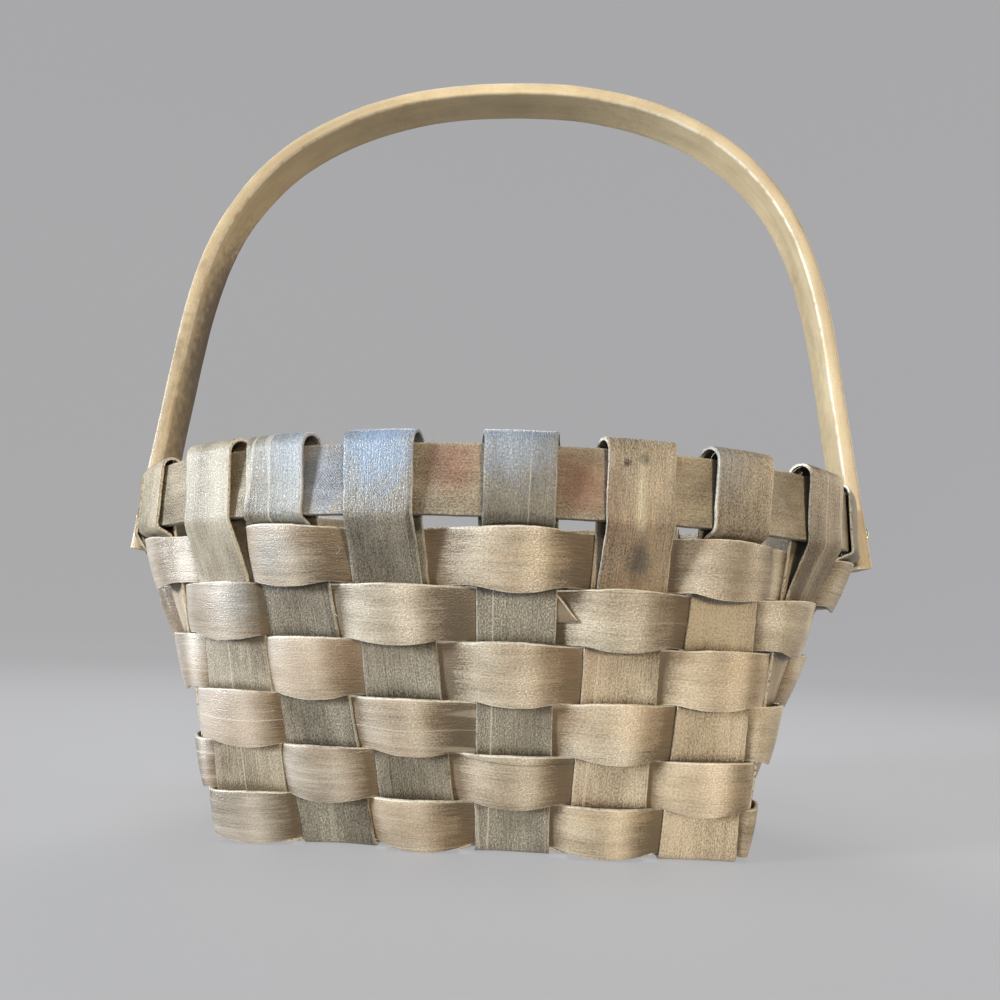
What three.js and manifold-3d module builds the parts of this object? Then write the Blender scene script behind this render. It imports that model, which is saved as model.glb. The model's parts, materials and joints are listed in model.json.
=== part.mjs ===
// Gathering basket woven from flat wood splints, with a bent-wood swing handle. Millimetres, +Z up.
// +X runs along the long side to the right, the front face looks towards -Y, and the origin is at the
// middle of the underside, where the basket stands.
//
// Each splint that forms the bottom is one long strip: it crosses the bottom, is bent up at both edges,
// stands as an upright in two walls, loops over the rim hoop and is tucked down outside. Six weavers run
// round the uprights, each a ring of its own with lapped ends.
import * as THREE from 'three';
import { mergeVertices } from 'three/addons/utils/BufferGeometryUtils.js';
import Module from 'manifold-3d';

// Splints
const SPLINT_THICKNESS = 1.2;
const LONG_SPLINT_WIDTH = 25.5;     // the six that run from front to back
const CROSS_SPLINT_WIDTH = 23.5;    // the four that run from left to right
const LONG_SPLINT_GAP = 4.8;        // between neighbours on the bottom
const CROSS_SPLINT_GAP = 2.8;
const CLEARANCE = 0.3;              // left between pieces that touch
const BOTTOM_EDGE_MARGIN = 2.4;     // from the last splint's edge to the foot of the wall
const EDGE_BEND_RADIUS = 2.6;       // where a splint turns up from the bottom
const EDGE_BEND_STEPS = 3;
const HEAD_STRAIGHT = 2;            // above the band's lower edge, where an upright stands straight
const TWIST_STEP = 3;               // degrees that an upright may turn from one station to the next
// How far each front-to-back splint lies from an even spacing, as this hand-made basket has them
const LONG_SPLINT_SHIFTS = [0.4, -0.9, -2.3, -2.0, -0.8, 0.2];

// Rim hoop, a flat band bent to an oval and scarfed at the back
const RIM_LENGTH = 300;             // over the band's outer faces
const RIM_DEPTH = 205.4;
const RIM_TOP = 132;
const BAND_HEIGHT = 23;
const BAND_THICKNESS = 3.8;
const SCARF_DEGREES = 24;           // how far round the oval the two ends lap
const FEATHER = 0.5;                // thickness left at the thin end of a scarf
const BAND_STATIONS = 84;
const SCARF_STEPS = 5;

// Where the uprights meet the rim, in degrees round the oval from the middle of the front,
// positive to the right
const FRONT_RIM_ANGLES = [-38.3, -26.2, -11.8, 5.2, 20, 34.8];
const RIGHT_RIM_ANGLES = [53, 71, 109, 127];
const LEFT_RIM_ANGLES = [-58, -73, -108, -125];

// Ends of the splints, folded over the rim
const LOOP_GAP = 2.4;               // between the band's outer face and a fold at its top
const TIGHT_LOOP_GAP = 0.5;         // the same for the folds beside the handle, which it passes over
const LOOP_DROP = 0.4;              // how far below the band's top a loop starts to turn
const SETTLE_HEIGHT = 8;            // above the band's lower edge, where a fold comes in to the band
const SETTLE_SHARE = 0.25;          // how much of the loop's overhang is left there
const TAIL_WIDTH = 22.5;
const TAIL_TUCK = 13;               // length of a folded end behind its weaver
const TUCK_SLOPE = 62;              // degrees from upright at which a short end dives under its weaver
const TUCK_APPROACH = 2.2;          // height above its weaver at which a long end reaches the upright
const LOOP_STEPS = 6;

// Weavers
const WEAVER_THICKNESS = 1.1;
// The rows from the rim down: how each one's share of the wall compares with an even share
const ROW_SHARES = [1.0, 1.03, 1.07, 1.03, 0.95, 0.92];
const TOP_ROW_GAP = 3.5;            // between the band's lower edge and the top row
const FOOT_GAP = 1.8;               // between the ground and the bottom row
const ROW_GAP = 0.3;
const BOW = 2.6;                    // how far a weaver stands off where it passes over an upright
const FULL_ABOVE = 0.3;             // how much taller it shows there, at its upper edge
const FULL_BELOW = 2.1;             // and at its lower edge
const TUCK_LIFT = 0.9;              // extra room at the edges of a short folded end
const BEND_MARGIN = 0.35;           // past an upright's edge, before a weaver turns
const CORNER_SHARE = 0.5;           // how far a weaver runs on towards a corner before it rounds it
const CORNER_CHANGE = 0.25;         // share of a weaver's change of side made on each half of the corner
const MITRE_LIMIT = 0.6;            // least cosine of half a bend at which a weaver's mitre still grows
const FOOT_ROW_LIFT = 0.9;          // the bottom row rides up this much inside an upright
const LAP_END_INSET = 1;            // from a weaver's end to the edge of the upright that hides it
// Places across an upright, from -1 at one edge to 1 at the other, of a weaver's stations
const BOW_PLACES = [-1, -0.55, 0, 0.55, 1];
const BEHIND_PLACES = [-1, -0.33, 0.33, 1];
// The upright behind which each row's ends lap, counted round from the front's left
const LAP_UPRIGHTS = [13, 4, 15, 12, 11, 14];

// Handle, a flat bent hoop
const HANDLE_WIDTH = 19;
const HANDLE_THICKNESS = 6;
const HANDLE_TOP = 339.5;
const HANDLE_SPRING = 185;          // height where the legs pass into the arch
const ARCH_CROWN = 2.2;             // exponents of the arch, both 2 for an ellipse
const ARCH_SHOULDER = 3.2;
const ARCH_SET = 1.8;               // how much the arch's right shoulder stands higher than the left
const LEG_LEAN = 5.5;               // degrees that the legs lean together towards the top
const LEG_END_DROP = 14;            // from the pivot down to the leg's square end
const HANDLE_SIDE_GAP = 2.5;        // between the band and a leg at the pivot
const HANDLE_EDGE_BEVEL = 0.8;
const ARCH_STEPS = 44;

// Pivot nails
const NAIL_DIAMETER = 3.2;
const NAIL_FIT = 0.35;              // all round the shank, in the leg and in the band
const NAIL_HEAD_DIAMETER = 9;
const NAIL_HEAD_HEIGHT = 1.5;
const NAIL_HEAD_EDGE = 0.6;         // height of the head's rim, below its dome
const NAIL_HEAD_STANDOFF = 1.0;     // the head stands off the leg, so that the leg turns freely
const NAIL_BURR_DIAMETER = 7;
const NAIL_BURR_HEIGHT = 1.2;
const NAIL_BURR_CHAMFER = 0.4;
const NAIL_DOME_STEPS = 3;
const NAIL_FACETS = 16;

// Sizes that follow
const LONG_PITCH = LONG_SPLINT_WIDTH + LONG_SPLINT_GAP;
const CROSS_PITCH = CROSS_SPLINT_WIDTH + CROSS_SPLINT_GAP;
const LONG_COUNT = LONG_SPLINT_SHIFTS.length;
const CROSS_COUNT = RIGHT_RIM_ANGLES.length;
const UPRIGHTS = 2 * (LONG_COUNT + CROSS_COUNT);
const BASE_HALF_LENGTH = LONG_COUNT * LONG_PITCH / 2 - LONG_SPLINT_GAP / 2 + BOTTOM_EDGE_MARGIN;
const BASE_HALF_DEPTH = CROSS_COUNT * CROSS_PITCH / 2 - CROSS_SPLINT_GAP / 2 + BOTTOM_EDGE_MARGIN;
const RIM_HALF_LENGTH = RIM_LENGTH / 2;
const RIM_HALF_DEPTH = RIM_DEPTH / 2;
const BAND_BOTTOM = RIM_TOP - BAND_HEIGHT;
const BOTTOM_WAVE = (SPLINT_THICKNESS + CLEARANCE) / 2;
const BOTTOM_MIDDLE = BOTTOM_WAVE + SPLINT_THICKNESS / 2;
const WEAVE_OFFSET = (SPLINT_THICKNESS + WEAVER_THICKNESS) / 2 + CLEARANCE;
const LAYER_OFFSET = SPLINT_THICKNESS + CLEARANCE;
const LAP_OFFSET = WEAVER_THICKNESS + CLEARANCE;
const BAND_INNER = SPLINT_THICKNESS / 2 + CLEARANCE;
const BAND_OUTER = BAND_INNER + BAND_THICKNESS;
const WEAVER_ROWS = ROW_SHARES.length;
const WOVEN_HEIGHT = BAND_BOTTOM - TOP_ROW_GAP - FOOT_GAP;
const PIVOT_HEIGHT = RIM_TOP - BAND_HEIGHT / 2;

const flat = (x, y) => new THREE.Vector2(x, y);
const radians = THREE.MathUtils.degToRad;
const mix = (a, b, t) => a + (b - a) * t;
const total = (list) => list.reduce((sum, value) => sum + value, 0);

// Height of the top of a row, or of the bottom of the row above it
function rowTop(row) {
  const above = total(ROW_SHARES.slice(0, row)) / total(ROW_SHARES);
  return BAND_BOTTOM - TOP_ROW_GAP - above * WOVEN_HEIGHT;
}

// Strips
// A strip is a row of stations, each with four corners: top and bottom of one face, then of the other.
// Seen along the strip the corners run round it, and both ends are closed.
function stripGeometry(stations) {
  const points = [];
  const faces = [];
  for (const corners of stations) {
    for (const corner of corners) points.push(corner.x, corner.y, corner.z);
  }
  for (let s = 0; s < stations.length - 1; s++) {
    for (let c = 0; c < 4; c++) {
      const near = 4 * s + c;
      const next = 4 * s + (c + 1) % 4;
      faces.push(near, next, next + 4);
      faces.push(near, next + 4, near + 4);
    }
  }
  const last = 4 * (stations.length - 1);
  faces.push(0, 2, 1, 0, 3, 2);
  faces.push(last, last + 1, last + 2, last, last + 2, last + 3);
  const geometry = new THREE.BufferGeometry();
  geometry.setAttribute('position', new THREE.Float32BufferAttribute(points, 3));
  geometry.setIndex(faces);
  geometry.computeVertexNormals();
  return geometry;
}

// A strip of one thickness along a path of stations { at, across, width }, mitred at its bends.
function splintGeometry(path, thickness) {
  const stations = path.map((station, i) => {
    const before = path[Math.max(i - 1, 0)].at;
    const after = path[Math.min(i + 1, path.length - 1)].at;
    const arriving = station.at.clone().sub(before).normalize();
    const leaving = after.clone().sub(station.at).normalize();
    const along = arriving.clone().add(leaving).normalize();
    const straight = i > 0 && i < path.length - 1 ? along.dot(leaving) : 1;
    const face = station.across.clone().cross(along).normalize();
    const half = face.multiplyScalar(thickness / 2 / straight);
    const side = station.across.clone().multiplyScalar(station.width / 2);
    return [
      station.at.clone().sub(side).add(half),
      station.at.clone().add(side).add(half),
      station.at.clone().add(side).sub(half),
      station.at.clone().sub(side).sub(half),
    ];
  });
  return stripGeometry(stations);
}

// The rim's oval at an angle from the middle of the front: point, direction anticlockwise seen from
// above, outward normal and radius of curvature.
function oval(degrees) {
  const angle = radians(degrees);
  const point = flat(RIM_HALF_LENGTH * Math.sin(angle), -RIM_HALF_DEPTH * Math.cos(angle));
  const speed = flat(RIM_HALF_LENGTH * Math.cos(angle), RIM_HALF_DEPTH * Math.sin(angle));
  const radius = speed.length() ** 3 / (RIM_HALF_LENGTH * RIM_HALF_DEPTH);
  const along = speed.clone().normalize();
  return { point, along, out: flat(along.y, -along.x), radius };
}

// Uprights
// Numbered from 0 at the front's left, anticlockwise seen from above: front, right, back, left. Every
// other one is an over: its splint lies over the outermost one that it crosses on the bottom, the top row
// passes inside it, and its folded end is a long one. The hollow is how far the oval falls away from the
// flat upright between its middle and its edges.
function makeUpright(index, foot, footAlong, degrees, width) {
  const rim = oval(degrees);
  const hollow = (width / 2) ** 2 / (2 * (rim.radius - BAND_THICKNESS));
  const inset = BAND_THICKNESS + CLEARANCE + SPLINT_THICKNESS / 2 + hollow;
  const head = rim.point.clone().addScaledVector(rim.out, -inset);
  return { foot, footAlong, head, headAlong: rim.along, hollow, width, over: index % 2 === 0 };
}

function makeUprights() {
  const longs = LONG_SPLINT_SHIFTS.map((shift, i) => (i - (LONG_COUNT - 1) / 2) * LONG_PITCH + shift);
  const crosses = RIGHT_RIM_ANGLES.map((_, i) => (i - (CROSS_COUNT - 1) / 2) * CROSS_PITCH);
  const list = [];
  const add = (foot, along, degrees, width) => {
    list.push(makeUpright(list.length, foot, along, degrees, width));
  };
  for (let i = 0; i < LONG_COUNT; i++) {
    add(flat(longs[i], -BASE_HALF_DEPTH), flat(1, 0), FRONT_RIM_ANGLES[i], LONG_SPLINT_WIDTH);
  }
  for (let i = 0; i < CROSS_COUNT; i++) {
    add(flat(BASE_HALF_LENGTH, crosses[i]), flat(0, 1), RIGHT_RIM_ANGLES[i], CROSS_SPLINT_WIDTH);
  }
  for (let i = LONG_COUNT - 1; i >= 0; i--) {
    add(flat(longs[i], BASE_HALF_DEPTH), flat(-1, 0), 180 - FRONT_RIM_ANGLES[i], LONG_SPLINT_WIDTH);
  }
  for (let i = CROSS_COUNT - 1; i >= 0; i--) {
    add(flat(-BASE_HALF_LENGTH, crosses[i]), flat(0, -1), LEFT_RIM_ANGLES[i], CROSS_SPLINT_WIDTH);
  }
  return list;
}

// An upright's middle line, direction and outward normal at a height. It leans out from its foot to the
// band's lower edge, and stands straight behind the band.
function uprightAt(upright, height) {
  const t = Math.min(height / BAND_BOTTOM, 1);
  const middle = upright.foot.clone().lerp(upright.head, t);
  const along = upright.footAlong.clone().lerp(upright.headAlong, Math.max(t, 0)).normalize();
  const out = flat(along.y, -along.x);
  const travel = upright.head.clone().sub(upright.foot).dot(out) / BAND_BOTTOM;
  const slant = height < BAND_BOTTOM ? Math.sqrt(1 + travel * travel) : 1;
  return { middle, along, out, slant };
}

// Folded ends
// Heights and distances from the upright of the loop over the rim and of the end that is tucked down.
function foldPath(upright) {
  const bandOuter = BAND_OUTER + upright.hollow;
  const besideHandle = Math.abs(upright.head.y) < RIM_HALF_DEPTH / 2;
  const topGap = besideHandle ? TIGHT_LOOP_GAP : LOOP_GAP;
  const loopRadius = (bandOuter + topGap + SPLINT_THICKNESS / 2) / 2;
  const turn = RIM_TOP - LOOP_DROP;
  const path = [];
  for (let s = 0; s <= LOOP_STEPS; s++) {
    const angle = Math.PI * s / LOOP_STEPS;
    path.push([loopRadius * (1 - Math.cos(angle)), turn + loopRadius * Math.sin(angle)]);
  }
  const pressed = bandOuter + CLEARANCE + SPLINT_THICKNESS / 2;
  path.push([mix(pressed, 2 * loopRadius, SETTLE_SHARE), BAND_BOTTOM + SETTLE_HEIGHT]);
  const dive = BAND_BOTTOM - CLEARANCE - SPLINT_THICKNESS / 4;
  const shortDive = (pressed - LAYER_OFFSET) / Math.tan(radians(TUCK_SLOPE));
  const tuckTop = rowTop(upright.over ? 1 : 0);
  path.push([pressed, dive]);
  path.push([LAYER_OFFSET, upright.over ? tuckTop + TUCK_APPROACH : dive - shortDive]);
  path.push([LAYER_OFFSET, tuckTop - TAIL_TUCK]);
  return path;
}

// One end of a splint, from its bend at the bottom's edge up to the tip of the folded end.
function uprightPath(upright, footHeight) {
  const stations = [];
  const add = (offset, height, width) => {
    const { middle, along, out, slant } = uprightAt(upright, height);
    const at = middle.addScaledVector(out, offset * slant);
    stations.push({
      at: new THREE.Vector3(at.x, at.y, height),
      across: new THREE.Vector3(along.x, along.y, 0),
      width,
    });
  };
  const twist = THREE.MathUtils.radToDeg(upright.footAlong.angleTo(upright.headAlong));
  const steps = Math.ceil(twist / TWIST_STEP) + 1;
  const start = footHeight + EDGE_BEND_RADIUS;
  const end = BAND_BOTTOM - 2 * CLEARANCE;
  for (let s = 0; s <= steps; s++) add(0, mix(start, end, s / steps), upright.width);
  add(0, BAND_BOTTOM + HEAD_STRAIGHT, upright.width);
  const tailWidth = Math.min(TAIL_WIDTH, upright.width);
  foldPath(upright).forEach(([offset, height], i) => {
    add(offset, height, mix(upright.width, tailWidth, Math.min(i / LOOP_STEPS, 1)));
  });
  return stations;
}

// The stations of the bend between the bottom and the wall
function edgeBend(upright, footHeight) {
  const stations = [];
  const wall = uprightAt(upright, footHeight + EDGE_BEND_RADIUS);
  const corner = uprightAt(upright, footHeight);
  for (let s = 0; s < EDGE_BEND_STEPS; s++) {
    const t = s / EDGE_BEND_STEPS;
    const start = corner.middle.clone().addScaledVector(corner.out, -EDGE_BEND_RADIUS);
    const first = start.lerp(corner.middle, t);
    const second = corner.middle.clone().lerp(wall.middle, t);
    const at = first.lerp(second, t);
    stations.push({
      at: new THREE.Vector3(at.x, at.y, footHeight + EDGE_BEND_RADIUS * t * t),
      across: new THREE.Vector3(corner.along.x, corner.along.y, 0),
      width: upright.width,
    });
  }
  return stations;
}

// Height of a splint's middle on the bottom, where it lies over or under the one that it crosses
const bottomHeight = (over) => BOTTOM_MIDDLE + (over ? BOTTOM_WAVE : -BOTTOM_WAVE);

// The stations on the bottom, over and under the crossed splints in turn. The two outermost edges are
// left out, because the bends up to the walls start there.
function bottomPath(from, to, crossed) {
  const run = to.foot.clone().sub(from.foot).normalize();
  const along = (upright) => upright.foot.clone().sub(from.foot).dot(run);
  const inOrder = [...crossed].sort((a, b) => along(a) - along(b));
  const stations = inOrder.flatMap((other, i) => [-1, 1].map((side) => {
    const at = from.foot.clone().addScaledVector(run, along(other) + side * other.width / 2);
    return {
      at: new THREE.Vector3(at.x, at.y, bottomHeight((i % 2 === 0) === from.over)),
      across: new THREE.Vector3(to.footAlong.x, to.footAlong.y, 0),
      width: to.width,
    };
  }));
  return stations.slice(1, -1);
}

// A whole splint: down one wall, across the bottom and up the opposite wall
function wholeSplint(from, to, crossed) {
  const wall = (upright) => {
    const footHeight = bottomHeight(upright.over);
    return [...edgeBend(upright, footHeight), ...uprightPath(upright, footHeight)];
  };
  const turned = (station) => ({ ...station, across: station.across.clone().negate() });
  const path = [...wall(from).reverse().map(turned), ...bottomPath(from, to, crossed), ...wall(to)];
  return splintGeometry(path, SPLINT_THICKNESS);
}

function longSplint(uprights, i) {
  const rightSide = uprights.slice(LONG_COUNT, LONG_COUNT + CROSS_COUNT);
  return wholeSplint(uprights[UPRIGHTS - CROSS_COUNT - 1 - i], uprights[i], rightSide);
}

function crossSplint(uprights, i) {
  const front = uprights.slice(0, LONG_COUNT);
  return wholeSplint(uprights[UPRIGHTS - 1 - i], uprights[LONG_COUNT + i], front);
}

// Weavers
// The corner of the wall between two uprights, at one of three places round its bend (-1, 0 and 1).
// It rounds off the point where the two walls would meet, so it is sharp at the foot and wide at the rim.
function cornerAt(before, after, place, height, offsets) {
  const leaving = uprightAt(before, height);
  const arriving = uprightAt(after, height);
  const first = leaving.middle.clone().addScaledVector(leaving.along, before.width / 2 + BEND_MARGIN);
  const last = arriving.middle.clone().addScaledVector(arriving.along, -after.width / 2 - BEND_MARGIN);
  const across = last.clone().sub(first);
  const reach = across.dot(arriving.out) / leaving.along.dot(arriving.out);
  const meeting = first.clone().addScaledVector(leaving.along, reach);
  const near = first.lerp(meeting, CORNER_SHARE);
  const far = last.lerp(meeting, CORNER_SHARE);
  const out = leaving.out.clone().lerp(arriving.out, (place + 1) / 2).normalize();
  const offset = mix(offsets[0], offsets[1], 0.5 + CORNER_CHANGE * place);
  const middle = near.clone().lerp(far, 0.5).lerp(meeting, CORNER_SHARE / 2);
  const at = [near, middle, far][place + 1];
  return at.addScaledVector(out, offset * mix(leaving.slant, arriving.slant, 0.5));
}

// One ring: stations with a place in plan at any height, and the heights of the lower and upper edges
function weaverStations(uprights, row) {
  const stations = [];
  const top = rowTop(row);
  const bottom = rowTop(row + 1) + ROW_GAP;
  const foot = row === WEAVER_ROWS - 1;
  const fullBelow = foot ? Math.min(FULL_BELOW, bottom - CLEARANCE) : FULL_BELOW;
  const rise = foot ? FOOT_ROW_LIFT : 0;
  const lap = LAP_UPRIGHTS[row] - 1;
  const isOutside = (upright) => (row % 2 === 1) === upright.over;
  const sideOffset = (upright) => (isOutside(upright) ? 1 : -1) * WEAVE_OFFSET;
  const addAt = (upright, along, offset, swell) => {
    stations.push({
      plan: (height) => {
        const frame = uprightAt(upright, height);
        return frame.middle.addScaledVector(frame.along, along)
          .addScaledVector(frame.out, offset * frame.slant);
      },
      slant: (height) => uprightAt(upright, height).slant,
      bottom: offset < 0 ? bottom + rise : bottom - fullBelow * swell,
      top: top + FULL_ABOVE * swell,
    });
  };
  const addCorner = (before, after, place, offsets) => {
    stations.push({
      plan: (height) => cornerAt(before, after, place, height, offsets),
      slant: (height) => uprightAt(after, height).slant,
      bottom,
      top,
    });
  };
  for (let step = 0; step <= UPRIGHTS; step++) {
    const upright = uprights[(lap + step) % UPRIGHTS];
    const next = uprights[(lap + step + 1) % UPRIGHTS];
    const reach = upright.width / 2 + BEND_MARGIN;
    const hidden = upright.width / 2 - LAP_END_INSET;
    if (step === 0) {
      for (const along of [-hidden, 0, reach]) addAt(upright, along, -WEAVE_OFFSET - LAP_OFFSET, 0);
    } else if (step === UPRIGHTS) {
      for (const along of [-reach, 0, hidden]) addAt(upright, along, -WEAVE_OFFSET, 0);
    } else if (isOutside(upright)) {
      const foldRoom = row < 2 ? LAYER_OFFSET + (row === 0 ? TUCK_LIFT : 0) : 0;
      for (const place of BOW_PLACES) {
        const swell = 1 - place * place;
        addAt(upright, place * reach, WEAVE_OFFSET + foldRoom + BOW * swell, swell);
      }
    } else {
      for (const place of BEHIND_PLACES) addAt(upright, place * reach, -WEAVE_OFFSET, 0);
    }
    const turning = upright.footAlong.dot(next.footAlong) === 0;
    if (turning && step < UPRIGHTS) {
      const offsets = [sideOffset(upright), sideOffset(next)];
      for (const place of [-1, 0, 1]) addCorner(upright, next, place, offsets);
    }
  }
  return stations;
}

// The two faces of a weaver in plan at one of its edges
function weaverEdge(stations, edge) {
  const points = stations.map((station) => station.plan(station[edge]));
  return points.map((point, i) => {
    const before = points[Math.max(i - 1, 0)];
    const after = points[Math.min(i + 1, points.length - 1)];
    const arriving = point.clone().sub(before).normalize();
    const leaving = after.clone().sub(point).normalize();
    const along = arriving.clone().add(leaving).normalize();
    const straight = i > 0 && i < points.length - 1 ? Math.max(along.dot(leaving), MITRE_LIMIT) : 1;
    const out = flat(along.y, -along.x);
    const half = WEAVER_THICKNESS / 2 * stations[i].slant(stations[i][edge]) / straight;
    const height = stations[i][edge];
    const outer = point.clone().addScaledVector(out, half);
    const inner = point.clone().addScaledVector(out, -half);
    return {
      outer: new THREE.Vector3(outer.x, outer.y, height),
      inner: new THREE.Vector3(inner.x, inner.y, height),
    };
  });
}

function weaverRow(uprights, row) {
  const stations = weaverStations(uprights, row);
  const lower = weaverEdge(stations, 'bottom');
  const upper = weaverEdge(stations, 'top');
  return stripGeometry(stations.map((_, i) => [
    upper[i].outer, lower[i].outer, lower[i].inner, upper[i].inner,
  ]));
}

// Rim hoop
function rimHoop() {
  const stations = [];
  const add = (degrees, inner, outer) => {
    const { point, out } = oval(degrees);
    const outerPoint = point.clone().addScaledVector(out, outer - BAND_THICKNESS);
    const innerPoint = point.clone().addScaledVector(out, inner - BAND_THICKNESS);
    stations.push([
      new THREE.Vector3(outerPoint.x, outerPoint.y, RIM_TOP),
      new THREE.Vector3(outerPoint.x, outerPoint.y, BAND_BOTTOM),
      new THREE.Vector3(innerPoint.x, innerPoint.y, BAND_BOTTOM),
      new THREE.Vector3(innerPoint.x, innerPoint.y, RIM_TOP),
    ]);
  };
  const first = 180 - SCARF_DEGREES / 2;
  const tapered = BAND_THICKNESS - FEATHER;
  for (let s = 0; s < SCARF_STEPS; s++) {
    const share = s / SCARF_STEPS;
    add(first + share * SCARF_DEGREES, 0, FEATHER + share * tapered);
  }
  const plain = 360 - SCARF_DEGREES;
  for (let s = 0; s < BAND_STATIONS; s++) {
    add(first + SCARF_DEGREES + plain * s / BAND_STATIONS, 0, BAND_THICKNESS);
  }
  const lapShare = (tapered - FEATHER - CLEARANCE) / tapered;
  for (let s = 0; s <= SCARF_STEPS; s++) {
    const share = lapShare * s / SCARF_STEPS;
    add(first + 360 + share * SCARF_DEGREES, FEATHER + CLEARANCE + share * tapered, BAND_THICKNESS);
  }
  return stripGeometry(stations);
}

// Handle
// The outer face: a rounded arch on legs that lean together
function handleProfile() {
  const lean = Math.tan(radians(LEG_LEAN));
  const outerAtPivot = RIM_HALF_LENGTH + HANDLE_SIDE_GAP + HANDLE_THICKNESS;
  const archHalf = outerAtPivot - lean * (HANDLE_TOP - PIVOT_HEIGHT);
  const archRise = HANDLE_TOP - HANDLE_SPRING;
  const points = [];
  const add = (x, z) => points.push(flat(x + lean * (HANDLE_TOP - z), z));
  const set = (point) => {
    const share = Math.max(point.y - HANDLE_SPRING, 0) / archRise;
    return flat(point.x, point.y + ARCH_SET * share * point.x / archHalf);
  };
  add(archHalf, PIVOT_HEIGHT - LEG_END_DROP);
  add(archHalf, mix(PIVOT_HEIGHT, HANDLE_SPRING, 0.5));
  for (let s = 0; s <= ARCH_STEPS / 2; s++) {
    const angle = Math.PI / 2 * s / (ARCH_STEPS / 2);
    const x = archHalf * Math.cos(angle) ** (2 / ARCH_CROWN);
    const z = HANDLE_SPRING + archRise * Math.sin(angle) ** (2 / ARCH_SHOULDER);
    add(x, z);
  }
  const left = points.slice(0, -1).reverse().map((p) => flat(-p.x, p.y));
  return [...points.slice(0, -1), flat(0, HANDLE_TOP), ...left].map(set);
}

function handleHoop(wasm) {
  const outer = handleProfile();
  const inner = outer.map((point, i) => {
    const before = outer[Math.max(i - 1, 0)];
    const after = outer[Math.min(i + 1, outer.length - 1)];
    const along = after.clone().sub(before).normalize();
    return point.clone().addScaledVector(flat(-along.y, along.x), HANDLE_THICKNESS);
  });
  const first = outer[0];
  inner[0].y = first.y;
  inner[inner.length - 1].y = first.y;
  const shape = new THREE.Shape([...outer, ...inner.reverse()]);
  const depth = HANDLE_WIDTH - 2 * HANDLE_EDGE_BEVEL;
  const hoop = new THREE.ExtrudeGeometry(shape, {
    depth,
    bevelEnabled: true,
    bevelThickness: HANDLE_EDGE_BEVEL,
    bevelSize: HANDLE_EDGE_BEVEL,
    bevelOffset: -HANDLE_EDGE_BEVEL,
    bevelSegments: 1,
  });
  hoop.translate(0, 0, -depth / 2);
  hoop.rotateX(Math.PI / 2);
  const holes = nailHoles(HANDLE_SIDE_GAP / 2, HANDLE_SIDE_GAP + 2 * HANDLE_THICKNESS);
  return cut(wasm, hoop, holes);
}

// Pivot nails
// A straight bore on each side, between two distances outside the band's outer face
function nailHoles(from, to) {
  return [-1, 1].map((side) => {
    const hole = new THREE.CylinderGeometry(
      NAIL_DIAMETER / 2 + NAIL_FIT, NAIL_DIAMETER / 2 + NAIL_FIT, to - from, NAIL_FACETS);
    hole.rotateZ(Math.PI / 2);
    hole.translate(side * (RIM_HALF_LENGTH + (from + to) / 2), 0, PIVOT_HEIGHT);
    return hole;
  });
}

// Turned round X from a profile that starts and ends on the axis: head outside, burr inside
function pivotNail(side) {
  const shank = NAIL_DIAMETER / 2;
  const inside = -BAND_THICKNESS - CLEARANCE;
  const legOuter = HANDLE_SIDE_GAP + HANDLE_THICKNESS;
  const headBase = legOuter + NAIL_HEAD_STANDOFF;
  const profile = [
    flat(0, inside - NAIL_BURR_HEIGHT),
    flat(NAIL_BURR_DIAMETER / 2 - NAIL_BURR_CHAMFER, inside - NAIL_BURR_HEIGHT),
    flat(NAIL_BURR_DIAMETER / 2, inside - NAIL_BURR_HEIGHT + NAIL_BURR_CHAMFER),
    flat(NAIL_BURR_DIAMETER / 2, inside),
    flat(shank, inside),
    flat(shank, headBase),
    flat(NAIL_HEAD_DIAMETER / 2, headBase),
  ];
  for (let s = 0; s < NAIL_DOME_STEPS; s++) {
    const angle = Math.PI / 2 * s / NAIL_DOME_STEPS;
    const height = mix(NAIL_HEAD_EDGE, NAIL_HEAD_HEIGHT, Math.sin(angle));
    profile.push(flat(NAIL_HEAD_DIAMETER / 2 * Math.cos(angle), headBase + height));
  }
  profile.push(flat(0, headBase + NAIL_HEAD_HEIGHT));
  const nail = new THREE.LatheGeometry(profile, NAIL_FACETS);
  nail.rotateZ(-side * Math.PI / 2);
  nail.translate(side * RIM_HALF_LENGTH, 0, PIVOT_HEIGHT);
  return nail;
}

// Cuts
function solidOf(wasm, geometry) {
  const bare = geometry.clone();
  bare.deleteAttribute('normal');
  if (bare.getAttribute('uv')) bare.deleteAttribute('uv');
  const merged = mergeVertices(bare, 1e-4);
  const triVerts = Uint32Array.from(merged.index.array);
  const vertProperties = Float32Array.from(merged.attributes.position.array);
  return new wasm.Manifold(new wasm.Mesh({ numProp: 3, vertProperties, triVerts }));
}

function cut(wasm, geometry, tools) {
  let solid = solidOf(wasm, geometry);
  for (const tool of tools) solid = solid.subtract(solidOf(wasm, tool));
  const result = solid.getMesh();
  const cutGeometry = new THREE.BufferGeometry();
  cutGeometry.setAttribute('position', new THREE.Float32BufferAttribute(result.vertProperties, 3));
  cutGeometry.setIndex(Array.from(result.triVerts));
  cutGeometry.computeVertexNormals();
  return cutGeometry;
}

// Assembly
const wasm = await Module();
wasm.setup();

const wood = (color, roughness) => new THREE.MeshStandardMaterial({ color, roughness, metalness: 0 });
const uprightWood = wood('#786f5f', 0.75);
const crossWood = wood('#867a66', 0.75);
const weaverWood = wood('#aa967d', 0.7);
const rimWood = wood('#96918c', 0.7);
const handleWood = wood('#a5916e', 0.6);
const nailSteel = new THREE.MeshStandardMaterial({ color: '#b9ad8a', roughness: 0.4, metalness: 0.9 });

const basket = new THREE.Group();
const addMesh = (name, geometry, material) => {
  const mesh = new THREE.Mesh(geometry, material);
  mesh.name = name;
  basket.add(mesh);
};

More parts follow.
